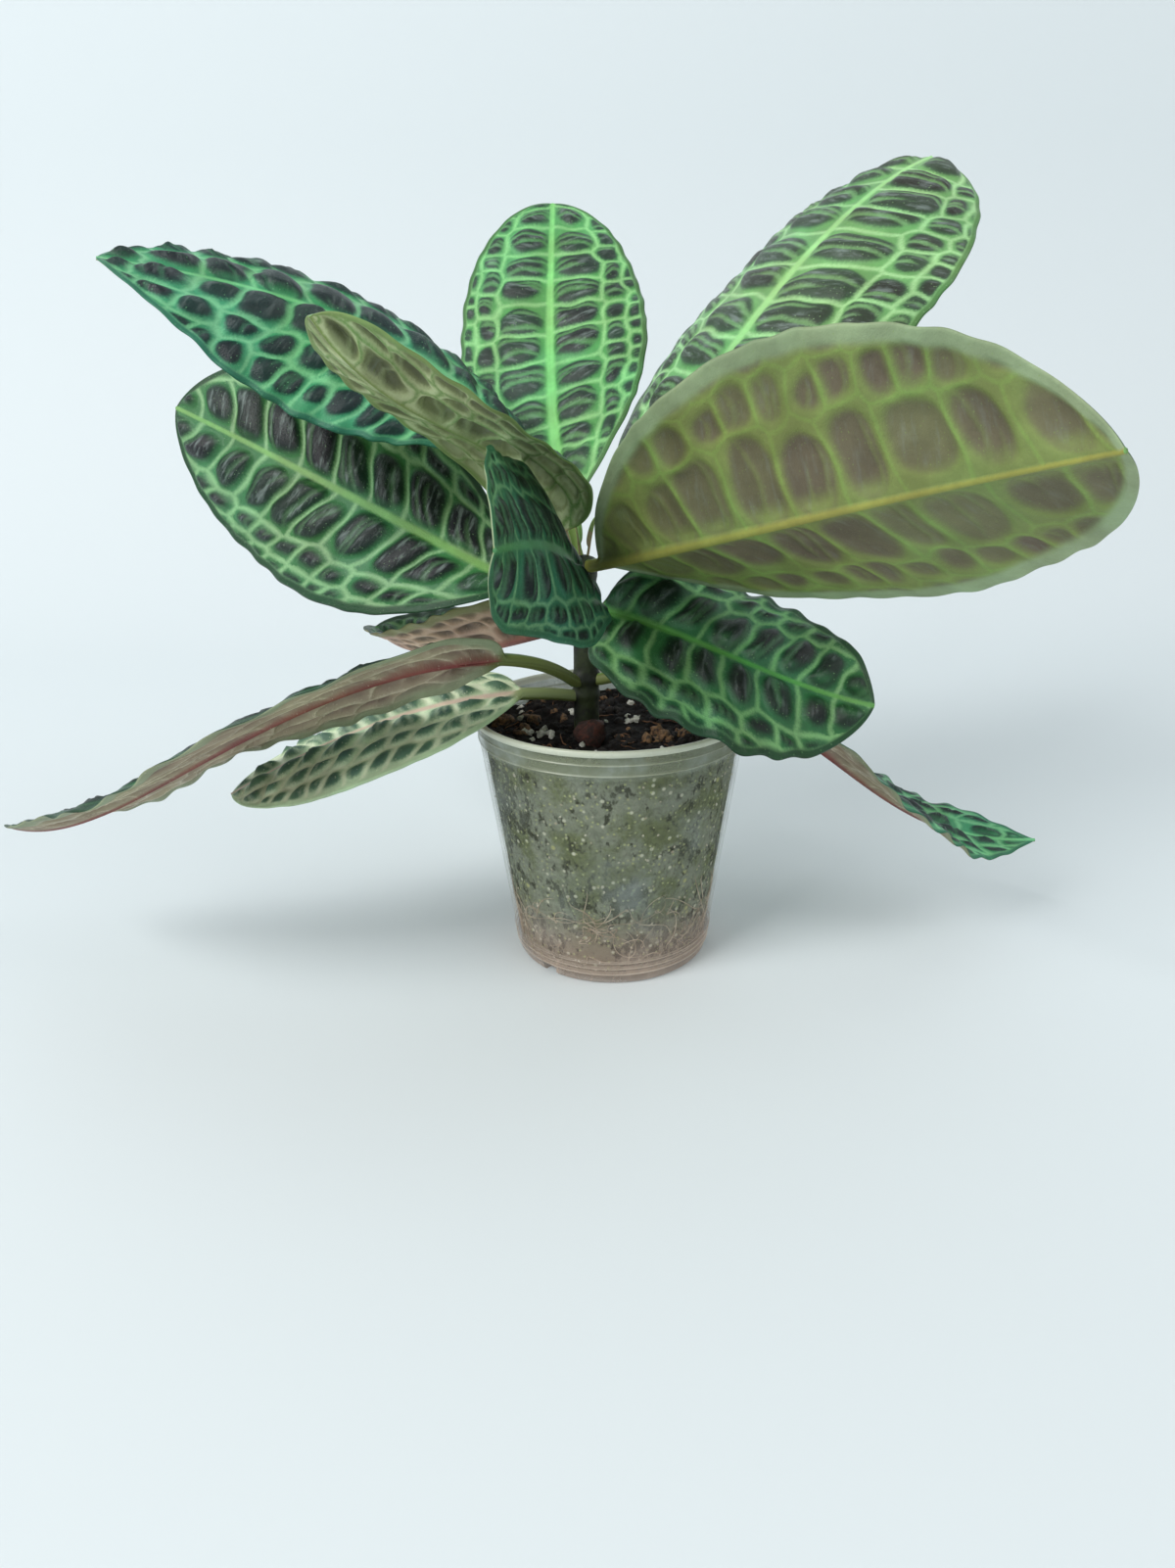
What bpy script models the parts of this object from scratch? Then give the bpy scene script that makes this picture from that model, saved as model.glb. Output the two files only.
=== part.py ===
"""A potted ardisia: twelve quilted leaves on one short stem, in a clear nursery pot of soil.

Sizes are in millimetres and degrees here, and become metres where a mesh is made.
The origin is the middle of the pot's base, +Z is up, and -Y is the front.
"""
from collections import namedtuple
from math import cos, exp, pi, radians, sin

import bmesh
import bpy
import numpy as np
from mathutils import Vector

MM = 0.001
GAP = 0.3                      # between pieces that touch on the real plant
MERGE = 0.00001                # metres
SHARP_ANGLE = 40.0

# Pot
POT_HEIGHT = 96.0
POT_BASE_RADIUS = 36.6
POT_RIM_RADIUS = 50.0
POT_WALL = 1.1
POT_FLOOR = 1.4
POT_CORNER = 2.0               # rounding of the bottom corner
POT_SIDES = 48
LIP_HEIGHT = 2.2
LIP_PROUD = 0.9
RIDGE_DROPS = (5.5, 9.5)       # from the rim down to each ridge
FOOT_RING_HEIGHTS = (8.0, 4.5)
RIDGE_PROUD = 0.5
RIDGE_HEIGHT = 1.4
NOTCH_TURNS = (-131.0, -11.0, 109.0)
NOTCH_WIDTH = 6.0
NOTCH_HEIGHT = 4.0
NOTCH_DEPTH = 5.0

# Soil
SOIL_LEVEL = 87.5
SOIL_SIDES = 44
SOIL_RINGS = 9
SOIL_SEED = 5
GRANULE_COUNT = 60
GRANULE_RADII = (2.6, 4.4)
GRANULE_HEIGHTS = (0.8, 2.2)
# Each bark lump has its x, y, radius and height.
BARK_LUMPS = ((-9.0, -13.0, 5.5, 3.6), (20.0, -14.0, 4.5, 3.0), (27.0, -10.0, 4.2, 2.8))

# Stem
STEM_X = -9.0
STEM_Y = -1.0
STEM_TOP = 151.0
STEM_FOOT = 52.0
STEM_RADIUS_LOW = 4.7
STEM_RADIUS_HIGH = 3.9
STEM_HOLE_SLACK = 0.4          # the hole in the soil is this much wider than the stem
NODE_SWELLING = 0.5            # of the stem, where a leaf grows from it
NODE_REACH = 1.8
STEM_STEP = 3.5
STEM_SIDES = 16

# Leaves
PETIOLE_RADIUS = 1.9
SHOOT_LENGTH = 60.0            # a leaf shorter than this has a petiole in proportion
SHOOT_OFFSET = 1.4             # of a shoot leaf from the stem's middle
RIB_RADIUS_TIP = 0.65
RIB_REACH = 2.4                # from the middle of the rib to the plain blade
BLADE_HALF = 0.45              # half the thickness of a blade
BLADE_OPENING = 6.0            # width over the rib at which the blade is fully flat
QUILT_HEIGHT = 1.3             # how far a cell between the veins bulges
ROW_PLACES = (0.0, 0.30, 0.56, 0.80, 1.0)
ROW_BULGES = (0.0, 1.0, 0.0, 0.75, 0.0)
RIB_PLACE = 0.12               # of the points beside the rib, before they close up to it
PETIOLE_PLACES = (0.0, 0.3, 0.55, 0.75, 0.92, 1.0)
VEIN_SWEEP = 0.10              # how far a side vein runs forward to the margin
TIP_STATION = 0.985
SPINE_STEPS = 161

# Azimuth, rise and roll are given at the root, the middle and the tip; azimuth 0 is +X and 90 is +Y.
# A fold lifts the left or right side of the blade, at the root and at the tip, and curl bends both down.
# Petiole is a share of the length, and widest the share of the blade where each side is widest.
# Point is how pointed the tip is, and veins counts the side veins on each side.
Leaf = namedtuple("Leaf", "name height length azimuth rise roll half_width fold_left fold_right "
                          "curl petiole widest point veins ruffle colour")

GREEN = (0.05, 0.19, 0.05)
DARK_GREEN = (0.02, 0.09, 0.045)
OLIVE = (0.13, 0.2, 0.05)
PINK_BROWN = (0.2, 0.13, 0.08)
PALE_GREEN = (0.18, 0.28, 0.14)
SOIL_BROWN = (0.03, 0.02, 0.015)
STEM_GREEN = (0.05, 0.08, 0.03)
PLASTIC_GREY = (0.62, 0.66, 0.6)

LEAVES = (
    Leaf(name="leaf_upper_left", height=144, length=197, azimuth=(138, 181, 195), rise=(80, 29, 9),
         roll=(-33, 20, 12), half_width=44, fold_left=(-10, 0), fold_right=(-4, 14), curl=47,
         petiole=0.18, widest=(0.5, 0.53), point=0.74, veins=10, ruffle=0.6, colour=GREEN),
    Leaf(name="leaf_folded", height=146, length=139, azimuth=(223, 238, 218), rise=(88, 21, 57),
         roll=(-34, -6, -25), half_width=28, fold_left=(-10, 12), fold_right=(12, 36), curl=21,
         petiole=0.11, widest=(0.49, 0.47), point=0.47, veins=8, ruffle=0.5, colour=OLIVE),
    Leaf(name="leaf_left", height=131, length=183, azimuth=(164, 155, 146), rise=(24, 22, 16),
         roll=(13, 58, 66), half_width=42, fold_left=(-3, -4), fold_right=(2, 4), curl=23,
         petiole=0.11, widest=(0.52, 0.53), point=0.66, veins=10, ruffle=0.6, colour=DARK_GREEN),
    Leaf(name="leaf_upright", height=148, length=176, azimuth=(108, 92, 89), rise=(41, 47, 41),
         roll=(53, 15, -3), half_width=38, fold_left=(6, 11), fold_right=(14, 12), curl=30,
         petiole=0.12, widest=(0.52, 0.52), point=0.56, veins=11, ruffle=0.5, colour=GREEN),
    Leaf(name="leaf_upper_right", height=148, length=211, azimuth=(18, 33, 47), rise=(59, 43, 14),
         roll=(-17, -4, -8), half_width=53, fold_left=(8, -6), fold_right=(4, -8), curl=33,
         petiole=0.1, widest=(0.51, 0.51), point=0.57, veins=11, ruffle=0.6, colour=GREEN),
    Leaf(name="leaf_right", height=148, length=193, azimuth=(297, 311, 293), rise=(14, 16, 13),
         roll=(41, 50, 49), half_width=49, fold_left=(22, 16), fold_right=(19, 15), curl=7,
         petiole=0.1, widest=(0.44, 0.49), point=0.64, veins=11, ruffle=0.8, colour=OLIVE),
    Leaf(name="leaf_front_right", height=133, length=107, azimuth=(295, 344, 336), rise=(10, -20, -5),
         roll=(-53, -17, -63), half_width=36, fold_left=(22, 12), fold_right=(7, -4), curl=23,
         petiole=0.07, widest=(0.43, 0.49), point=0.68, veins=8, ruffle=1.2, colour=DARK_GREEN),
    Leaf(name="leaf_front_twisted", height=137, length=115, azimuth=(267, 254, 267), rise=(46, 14, 8),
         roll=(60, 64, 96), half_width=31, fold_left=(12, -15), fold_right=(11, -11), curl=1,
         petiole=0.08, widest=(0.48, 0.5), point=0.64, veins=7, ruffle=1.6, colour=DARK_GREEN),
    Leaf(name="leaf_back_left", height=125, length=122, azimuth=(120, 146, 126), rise=(-15, -15, 22),
         roll=(-38, 6, 18), half_width=25, fold_left=(50, 48), fold_right=(20, 28), curl=1,
         petiole=0.14, widest=(0.46, 0.47), point=0.53, veins=8, ruffle=0.6, colour=PINK_BROWN),
    Leaf(name="leaf_low_left", height=107, length=248, azimuth=(229, 178, 146), rise=(38, -27, -4),
         roll=(-100, -22, -31), half_width=29, fold_left=(-19, 7), fold_right=(-21, 17), curl=1,
         petiole=0.14, widest=(0.45, 0.52), point=0.7, veins=11, ruffle=1.4, colour=PINK_BROWN),
    Leaf(name="leaf_low_pale", height=101, length=131, azimuth=(208, 186, 179), rise=(15, -16, -30),
         roll=(29, 7, 14), half_width=30, fold_left=(0, 1), fold_right=(3, 1), curl=28,
         petiole=0.15, widest=(0.55, 0.38), point=0.68, veins=8, ruffle=0.6, colour=PALE_GREEN),
    Leaf(name="leaf_low_right", height=107, length=192, azimuth=(-29, 13, -5), rise=(19, -39, 6),
         roll=(45, 9, -20), half_width=24, fold_left=(13, 9), fold_right=(14, 6), curl=7,
         petiole=0.27, widest=(0.52, 0.53), point=0.97, veins=9, ruffle=1.6, colour=DARK_GREEN),
    Leaf(name="shoot_leaf_left", height=151, length=17, azimuth=(160, 160, 160), rise=(84, 82, 80),
         roll=(0, 0, 0), half_width=2.6, fold_left=(30, 20), fold_right=(30, 20), curl=10,
         petiole=0.2, widest=(0.45, 0.45), point=0.62, veins=3, ruffle=0.0, colour=GREEN),
    Leaf(name="shoot_leaf_right", height=151, length=13, azimuth=(340, 340, 340), rise=(80, 78, 76),
         roll=(0, 0, 0), half_width=2.2, fold_left=(30, 20), fold_right=(30, 20), curl=10,
         petiole=0.2, widest=(0.45, 0.45), point=0.62, veins=3, ruffle=0.0, colour=GREEN),
)


def finish_material(name, colour, roughness, transmission=0.0):
    """A Principled material with one colour."""
    material = bpy.data.materials.new(name)
    material.use_nodes = True
    shader = material.node_tree.nodes["Principled BSDF"]
    shader.inputs["Base Color"].default_value = (*colour, 1.0)
    shader.inputs["Roughness"].default_value = roughness
    shader.inputs["Metallic"].default_value = 0.0
    shader.inputs["Transmission Weight"].default_value = transmission
    return material


def add_object(name, mesh, collection, material):
    """Put a mesh into the scene as one smooth-shaded object of the plant."""
    piece = bpy.data.objects.new(name, mesh)
    collection.objects.link(piece)
    mesh.materials.clear()
    mesh.materials.append(material)
    mesh.shade_smooth()
    mesh.set_sharp_from_angle(angle=radians(SHARP_ANGLE))
    return piece


def profile_mesh(name, points):
    """A polyline of (radius, height) points in the XZ plane, for a Screw modifier."""
    mesh = bpy.data.meshes.new(name)
    verts = [(radius * MM, 0.0, height * MM) for radius, height in points]
    mesh.from_pydata(verts, [(i, i + 1) for i in range(len(verts) - 1)], [])
    return mesh


def turn(piece, sides):
    """Sweep a profile once round Z with a Screw modifier."""
    screw = piece.modifiers.new("Turn", "SCREW")
    screw.axis = "Z"
    screw.angle = 2 * pi
    screw.steps = sides
    screw.render_steps = sides
    screw.use_merge_vertices = True
    screw.merge_threshold = MERGE


def triangles_to_mesh(name, loops, split):
    """Join like loops of points with triangles and close both ends.

    split(j, k) says whether the face between the points j and k of two loops is cut from j.
    """
    around = loops.shape[1]
    mesh = bpy.data.meshes.new(name)
    work = bmesh.new()
    verts = [[work.verts.new(Vector(point) * MM) for point in loop] for loop in loops]
    for low, high in zip(verts[:-1], verts[1:]):
        for j in range(around):
            k = (j + 1) % around
            if split(j, k):
                work.faces.new((low[j], low[k], high[k]))
                work.faces.new((low[j], high[k], high[j]))
            else:
                work.faces.new((low[j], low[k], high[j]))
                work.faces.new((low[k], high[k], high[j]))
    work.faces.new(verts[0])
    work.faces.new(verts[-1])
    bmesh.ops.recalc_face_normals(work, faces=work.faces)
    work.to_mesh(mesh)
    work.free()
    return mesh


def wall_radius(height):
    """The pot's outer radius at a height: a straight taper from base to rim."""
    return POT_BASE_RADIUS + (POT_RIM_RADIUS - POT_BASE_RADIUS) * height / POT_HEIGHT


def inner_radius(height):
    """The pot's inner radius at a height."""
    return wall_radius(height) - POT_WALL


def ridge_points(height):
    """One low ridge round the outside of the pot."""
    half = RIDGE_HEIGHT / 2
    return [(wall_radius(height + half), height + half),
            (wall_radius(height) + RIDGE_PROUD, height),
            (wall_radius(height - half), height - half)]


def pot_profile():
    """Up the inside from the floor's centre, over the lip, and down the outside to the base."""
    lip_radius = POT_RIM_RADIUS + LIP_PROUD
    lip_foot = POT_HEIGHT - LIP_HEIGHT
    side_foot = POT_FLOOR + POT_CORNER
    points = [(0.0, POT_FLOOR), (POT_BASE_RADIUS - POT_WALL - POT_CORNER, POT_FLOOR),
              (inner_radius(side_foot), side_foot), (inner_radius(POT_HEIGHT), POT_HEIGHT),
              (lip_radius, POT_HEIGHT), (lip_radius, lip_foot), (wall_radius(lip_foot), lip_foot - GAP)]
    for height in [POT_HEIGHT - drop for drop in RIDGE_DROPS] + list(FOOT_RING_HEIGHTS):
        points += ridge_points(height)
    for angle in (0.0, pi / 4, pi / 2):
        points.append((POT_BASE_RADIUS - POT_CORNER * (1 - cos(angle)), POT_CORNER * (1 - sin(angle))))
    return points + [(0.0, 0.0)]


def notch_cutter(index, degrees, cutters):
    """A block that cuts one drainage notch through the bottom corner of the pot."""
    bpy.ops.mesh.primitive_cube_add(size=1.0)
    cutter = bpy.context.object
    cutter.name = f"notch_cutter_{index}"
    reach = POT_BASE_RADIUS - NOTCH_DEPTH / 2 + 1.0
    angle = radians(degrees)
    cutter.scale = (NOTCH_DEPTH * MM, NOTCH_WIDTH * MM, 2 * NOTCH_HEIGHT * MM)
    cutter.rotation_euler = (0.0, 0.0, angle)
    cutter.location = (reach * cos(angle) * MM, reach * sin(angle) * MM, 0.0)
    for owner in tuple(cutter.users_collection):
        owner.objects.unlink(cutter)
    cutters.objects.link(cutter)
    cutter.hide_render = True
    cutter.display_type = "WIRE"
    return cutter


def make_pot(collection, cutters):
    """The clear plastic pot, with a lip, two ridges under it, foot rings and drainage notches."""
    material = finish_material("clear_plastic", PLASTIC_GREY, 0.25, transmission=0.6)
    pot = add_object("pot", profile_mesh("pot", pot_profile()), collection, material)
    turn(pot, POT_SIDES)
    for index, degrees in enumerate(NOTCH_TURNS):
        cut = pot.modifiers.new(f"Notch{index}", "BOOLEAN")
        cut.operation = "DIFFERENCE"
        cut.object = notch_cutter(index, degrees, cutters)


def soil_bumps():
    """The round bumps of the soil's top as rows of x, y, radius and height: seeded granules and lumps."""
    draw = np.random.default_rng(SOIL_SEED)
    reach = inner_radius(SOIL_LEVEL) - GRANULE_RADII[1]
    distance = reach * np.sqrt(draw.uniform(0.03, 1.0, GRANULE_COUNT))
    angle = draw.uniform(0.0, 2 * pi, GRANULE_COUNT)
    granules = np.column_stack([distance * np.cos(angle), distance * np.sin(angle),
                                draw.uniform(*GRANULE_RADII, GRANULE_COUNT),
                                draw.uniform(*GRANULE_HEIGHTS, GRANULE_COUNT)])
    return np.concatenate([granules, np.array(BARK_LUMPS)])


def soil_top(points, bumps):
    """Height of the soil at (x, y) points: the level, and the highest bump there."""
    away = (points[:, None, 0] - bumps[:, 0]) ** 2 + (points[:, None, 1] - bumps[:, 1]) ** 2
    return SOIL_LEVEL + np.max(bumps[:, 3] * np.exp(-away / bumps[:, 2] ** 2), axis=1)


def make_soil(collection):
    """The soil that fills the pot: a tapered plug with a granular top and a hole for the stem."""
    hole = STEM_RADIUS_LOW + STEM_HOLE_SLACK
    edge = inner_radius(SOIL_LEVEL) - GAP
    side_foot = POT_FLOOR + POT_CORNER + GAP
    spokes = np.arange(SOIL_SIDES) * 2 * pi / SOIL_SIDES
    circle = np.stack([np.cos(spokes), np.sin(spokes)], axis=-1)
    stem_circle = np.array([STEM_X, STEM_Y]) + hole * circle
    bumps = soil_bumps()

    def level_loop(ring, height):
        return np.column_stack([ring, np.broadcast_to(height, SOIL_SIDES)])

    loops = [level_loop(stem_circle, STEM_FOOT - GAP), level_loop(stem_circle, SOIL_LEVEL)]
    for share in np.arange(1, SOIL_RINGS) / SOIL_RINGS:
        ring = (1 - share) * stem_circle + share * edge * circle
        loops.append(level_loop(ring, soil_top(ring, bumps)))
    loops += [level_loop(edge * circle, SOIL_LEVEL),
              level_loop((inner_radius(side_foot) - GAP) * circle, side_foot),
              level_loop((POT_BASE_RADIUS - POT_WALL - POT_CORNER - GAP) * circle, POT_FLOOR + GAP)]
    mesh = triangles_to_mesh("soil", np.array(loops), lambda j, k: True)
    add_object("soil", mesh, collection, finish_material("soil", SOIL_BROWN, 0.9))


def stem_radius(height):
    """The stem's radius: a slow taper, with a swelling where each leaf grows from it."""
    share = min(max((height - SOIL_LEVEL) / (STEM_TOP - SOIL_LEVEL), 0.0), 1.0)
    swelling = max(exp(-((height - leaf.height) / NODE_REACH) ** 2) for leaf in LEAVES)
    return STEM_RADIUS_LOW + (STEM_RADIUS_HIGH - STEM_RADIUS_LOW) * share + NODE_SWELLING * swelling


def make_stem(collection):
    """The stem: one turned shape, rounded at the top, that stands in the hole in the soil."""
    points = [(0.0, STEM_TOP), (0.7 * STEM_RADIUS_HIGH, STEM_TOP - 0.6)]
    heights = np.arange(STEM_TOP - 2.0, SOIL_LEVEL + STEM_STEP, -STEM_STEP)
    points += [(stem_radius(height), height) for height in heights]
    points += [(STEM_RADIUS_LOW, SOIL_LEVEL), (STEM_RADIUS_LOW, STEM_FOOT), (0.0, STEM_FOOT)]
    stem = add_object("stem", profile_mesh("stem", points), collection,
                      finish_material("stem", STEM_GREEN, 0.6))
    turn(stem, STEM_SIDES)
    stem.location = (STEM_X * MM, STEM_Y * MM, 0.0)


def three_values(values, u):
    """The parabola through a value at the root, the middle and the tip of a leaf."""
    root, middle, tip = values
    return root * (1 - u) * (1 - 2 * u) + 4 * middle * u * (1 - u) + tip * u * (2 * u - 1)


def leaf_root(leaf, azimuth, rise):
    """Where a petiole starts: clear of the stem's side, or on the stem's top for a shoot leaf."""
    if leaf.height < STEM_TOP:
        away = stem_radius(leaf.height) + GAP + PETIOLE_RADIUS * abs(sin(rise))
        height = leaf.height
    else:
        away = SHOOT_OFFSET
        height = STEM_TOP + GAP
    return np.array([STEM_X + away * cos(azimuth), STEM_Y + away * sin(azimuth), height])


def spine_of(leaf):
    """Points along the middle of a leaf, with the directions across it and out of its upper face."""
    u = np.linspace(0.0, 1.0, SPINE_STEPS)
    azimuth = np.radians(three_values(leaf.azimuth, u))
    rise = np.radians(three_values(leaf.rise, u))
    roll = np.radians(three_values(leaf.roll, u))[:, None]
    level = np.stack([np.cos(azimuth), np.sin(azimuth), np.zeros_like(u)], axis=-1)
    up = np.array([0.0, 0.0, 1.0])
    along = level * np.cos(rise)[:, None] + up * np.sin(rise)[:, None]
    lift = up * np.cos(rise)[:, None] - level * np.sin(rise)[:, None]
    side = np.cross(along, lift)
    across = side * np.cos(roll) + lift * np.sin(roll)
    normal = lift * np.cos(roll) - side * np.sin(roll)
    steps = (along[1:] + along[:-1]) / 2 * leaf.length / (SPINE_STEPS - 1)
    way = np.concatenate([np.zeros((1, 3)), np.cumsum(steps, axis=0)])
    middle = leaf_root(leaf, azimuth[0], rise[0]) + way
    return u, middle, across, normal


def blade_share(leaf, u):
    """0 where the blade begins, 1 at the tip."""
    return np.clip((u - leaf.petiole) / (1 - leaf.petiole), 0.0, 1.0)


def rib_radius(leaf, u):
    """The petiole's radius, shrinking along the blade's rib to the tip."""
    size = min(1.0, leaf.length / SHOOT_LENGTH)
    return size * (PETIOLE_RADIUS + (RIB_RADIUS_TIP - PETIOLE_RADIUS) * blade_share(leaf, u))


def half_width(leaf, u, v):
    """Half the blade's width: x^a (1 - x)^b scaled to 1 at its side's widest place, never under the rib."""
    x = blade_share(leaf, u)
    widest = np.where(v < 0, leaf.widest[0], leaf.widest[1])
    start = leaf.point * widest / (1 - widest)
    peak = widest ** start * (1 - widest) ** leaf.point
    return np.hypot(rib_radius(leaf, u), leaf.half_width * x ** start * (1 - x) ** leaf.point / peak)


def leaf_relief(leaf, x, v):
    """Cells that bulge between the side veins, and a wave that grows towards the margin."""
    size = min(1.0, leaf.half_width / 30)
    rows = np.interp(np.abs(v), ROW_PLACES, ROW_BULGES)
    cells = QUILT_HEIGHT * size * rows * np.abs(np.sin(pi * leaf.veins * x))
    phase = np.where(v > 0, 0.0, 2.0)
    return cells + leaf.ruffle * v ** 2 * np.sin(pi * leaf.veins / 2 * x + phase) * np.sin(pi * x)


def leaf_grid(leaf):
    """The leaf's stations s along it and places v across it, from -1 at the left to 1 at the right."""
    blade = np.arange(2 * leaf.veins + 1) / (2 * leaf.veins)
    x = np.sort(np.append(blade, TIP_STATION))
    s = np.concatenate([[0.0, leaf.petiole / 2], leaf.petiole + (1 - leaf.petiole) * x])
    places = np.array((0.0, RIB_PLACE) + ROW_PLACES[1:])
    return np.meshgrid(s, np.concatenate([-places[:0:-1], places]), indexing="ij"), places


def leaf_faces(leaf):
    """The upper and lower face of a leaf as two like grids of points.

    A point of the grid lies at u along the spine and at a distance away from it. The section is an arc
    that leaves the spine at the side's fold angle and bends down by the curl, and both faces stand off
    it by half the thickness there: a round one in the petiole and under the rib, a thin one elsewhere.
    """
    (s, v), places = leaf_grid(leaf)
    x = blade_share(leaf, s)
    u = s + (1 - leaf.petiole) * VEIN_SWEEP * np.abs(v) ** 1.5 * np.sin(pi * x)
    width = half_width(leaf, u, v)
    rib = rib_radius(leaf, u)
    opened = np.clip((width - rib) / BLADE_OPENING, 0.0, 1.0)
    beside_rib = np.isclose(np.abs(v), RIB_PLACE)
    flat_share = np.where(beside_rib, np.minimum(RIB_REACH / width, ROW_PLACES[1] / 2), np.abs(v))
    round_share = np.interp(np.abs(v), places, PETIOLE_PLACES)
    away = width * (round_share + (flat_share - round_share) * opened)

    left = leaf.fold_left[0] + (leaf.fold_left[1] - leaf.fold_left[0]) * u
    right = leaf.fold_right[0] + (leaf.fold_right[1] - leaf.fold_right[0]) * u
    fold = np.radians(np.where(v < 0, left, right))
    bend = radians(leaf.curl) / leaf.half_width
    tilt = fold - bend * away
    sideways = np.sign(v) * (np.sin(fold) - np.sin(tilt)) / bend
    upwards = (np.cos(tilt) - np.cos(fold)) / bend
    lean = np.sign(v) * np.sin(tilt)

    spine_u, *spine_values = spine_of(leaf)
    middle, across, normal = (np.stack([np.interp(u, spine_u, values[:, axis]) for axis in range(3)], axis=-1)
                              for values in spine_values)
    upright = np.where(v == 0.0, 1.0, np.cos(tilt))
    outward = normal * upright[..., None] - across * lean[..., None]
    sheet = middle + across * sideways[..., None] + normal * upwards[..., None]
    sheet += outward * leaf_relief(leaf, x, v)[..., None]

    thin = min(BLADE_HALF, leaf.half_width / 5)
    under = np.maximum(thin, np.sqrt(np.maximum(rib ** 2 - away ** 2, 0.0)))
    over = thin + (under - thin) * (1 - opened)
    return sheet + outward * over[..., None], sheet - outward * under[..., None]


def make_leaf(leaf, collection):
    """One leaf: a round petiole that opens into a quilted blade, split into triangles alike on both faces."""
    top, bottom = leaf_faces(leaf)
    places = top.shape[1]
    loops = np.concatenate([top, bottom[:, ::-1]], axis=1)

    def from_rib(j):
        place = j if j < places else 2 * places - 1 - j
        return abs(place - places // 2)

    mesh = triangles_to_mesh(leaf.name, loops, lambda j, k: from_rib(j) < from_rib(k))
    add_object(leaf.name, mesh, collection, finish_material(leaf.name, leaf.colour, 0.5))


def main():
    """Clear the scene and build the plant."""
    for old in tuple(bpy.data.objects):
        bpy.data.objects.remove(old, do_unlink=True)
    plant = bpy.data.collections.new("potted_ardisia")
    cutters = bpy.data.collections.new("cutters")
    for collection in (plant, cutters):
        bpy.context.scene.collection.children.link(collection)
    make_pot(plant, cutters)
    make_soil(plant)
    make_stem(plant)
    for leaf in LEAVES:
        make_leaf(leaf, plant)


main()
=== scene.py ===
"""Looks of a potted ardisia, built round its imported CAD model.

Sizes are in millimetres and degrees here, and become metres where a mesh is made.
The origin is the middle of the pot's base, +Z is up, and -Y is the front.
"""

from collections import namedtuple
from math import cos, exp, pi, radians, sin

import bpy
import numpy as np
from bpy.props import FloatProperty, FloatVectorProperty, IntProperty, PointerProperty
from mathutils import Matrix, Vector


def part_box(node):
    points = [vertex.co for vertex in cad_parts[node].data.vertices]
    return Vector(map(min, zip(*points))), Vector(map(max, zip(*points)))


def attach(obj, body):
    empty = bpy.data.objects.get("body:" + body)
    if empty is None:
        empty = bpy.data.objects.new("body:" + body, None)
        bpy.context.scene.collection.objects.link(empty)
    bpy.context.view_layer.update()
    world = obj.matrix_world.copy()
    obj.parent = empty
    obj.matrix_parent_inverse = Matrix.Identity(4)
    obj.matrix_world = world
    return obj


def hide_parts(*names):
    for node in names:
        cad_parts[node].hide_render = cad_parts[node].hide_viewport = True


bl_info = {
    "name": "Potted Ardisia",
    "version": (1, 0, 0),
    "blender": (4, 5, 0),
    "location": "3D View > Sidebar > Ardisia",
    "description": "Builds the leaves, stem, soil and clear pot of a potted ardisia",
    "category": "Object",
}

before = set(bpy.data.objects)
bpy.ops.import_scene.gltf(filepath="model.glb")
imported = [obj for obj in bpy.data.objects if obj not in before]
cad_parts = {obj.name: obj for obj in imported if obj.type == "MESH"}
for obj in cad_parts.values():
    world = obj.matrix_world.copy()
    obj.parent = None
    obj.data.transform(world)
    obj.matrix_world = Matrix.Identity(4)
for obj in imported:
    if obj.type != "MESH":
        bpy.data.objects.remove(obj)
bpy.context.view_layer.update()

MM = 0.001

# Pot
POT_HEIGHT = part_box("pot")[1].z / MM
POT_BASE_RADIUS = 36.6
POT_RIM_RADIUS = 50.0
POT_WALL = 1.1
POT_FLOOR = 1.4
POT_CORNER = 2.0               # rounding of the bottom corner
LIP_HEIGHT = 2.2
LIP_PROUD = 0.9
RIDGE_DROPS = (5.5, 9.5)       # from the rim down to each ridge
FOOT_RING_HEIGHTS = (9.4, 6.9, 4.4)
RIDGE_PROUD = 0.35
RIDGE_HALF = 0.5
NOTCH_TURNS = (-131.0, -11.0, 109.0)
NOTCH_WIDTH = 6.0
NOTCH_HEIGHT = 4.0
NOTCH_DEPTH = 5.0

# Soil
SOIL_LEVEL = 87.5
SOIL_GAP = 0.8                 # between the soil and the pot's wall, where the roots and specks lie
SIDE_TOP = 84.5                # above it the soil has the colour of its top

# Stem
STEM_X = -9.0
STEM_Y = -1.0
STEM_TOP = 151.0
STEM_FOOT = 70.0
STEM_RADIUS_LOW = 4.7
STEM_RADIUS_HIGH = 3.9
NODE_SWELLING = 0.5            # of the stem, where a leaf grows from it
NODE_REACH = 1.8
GAP = 0.3                      # from the stem's side to where a petiole starts in the CAD model

# Bits in the soil
LUMP_SIDES = 8
LUMP_RINGS = 5
THREAD_SIDES = 4
THREAD_STEPS = 15
BIG_LUMP = (-8.0, -15.0, 6.5)  # place of the red-brown lump, and its size
PERLITE_SPOTS = ((-26.0, -9.0, 6.0, 14), (9.0, 8.0, 4.0, 5), (-14.0, -30.0, 9.0, 8))
BARK_SPOTS = ((21.0, -9.0, 7.0, 12), (-40.0, 8.0, 4.0, 6), (30.0, 14.0, 9.0, 8))

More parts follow.
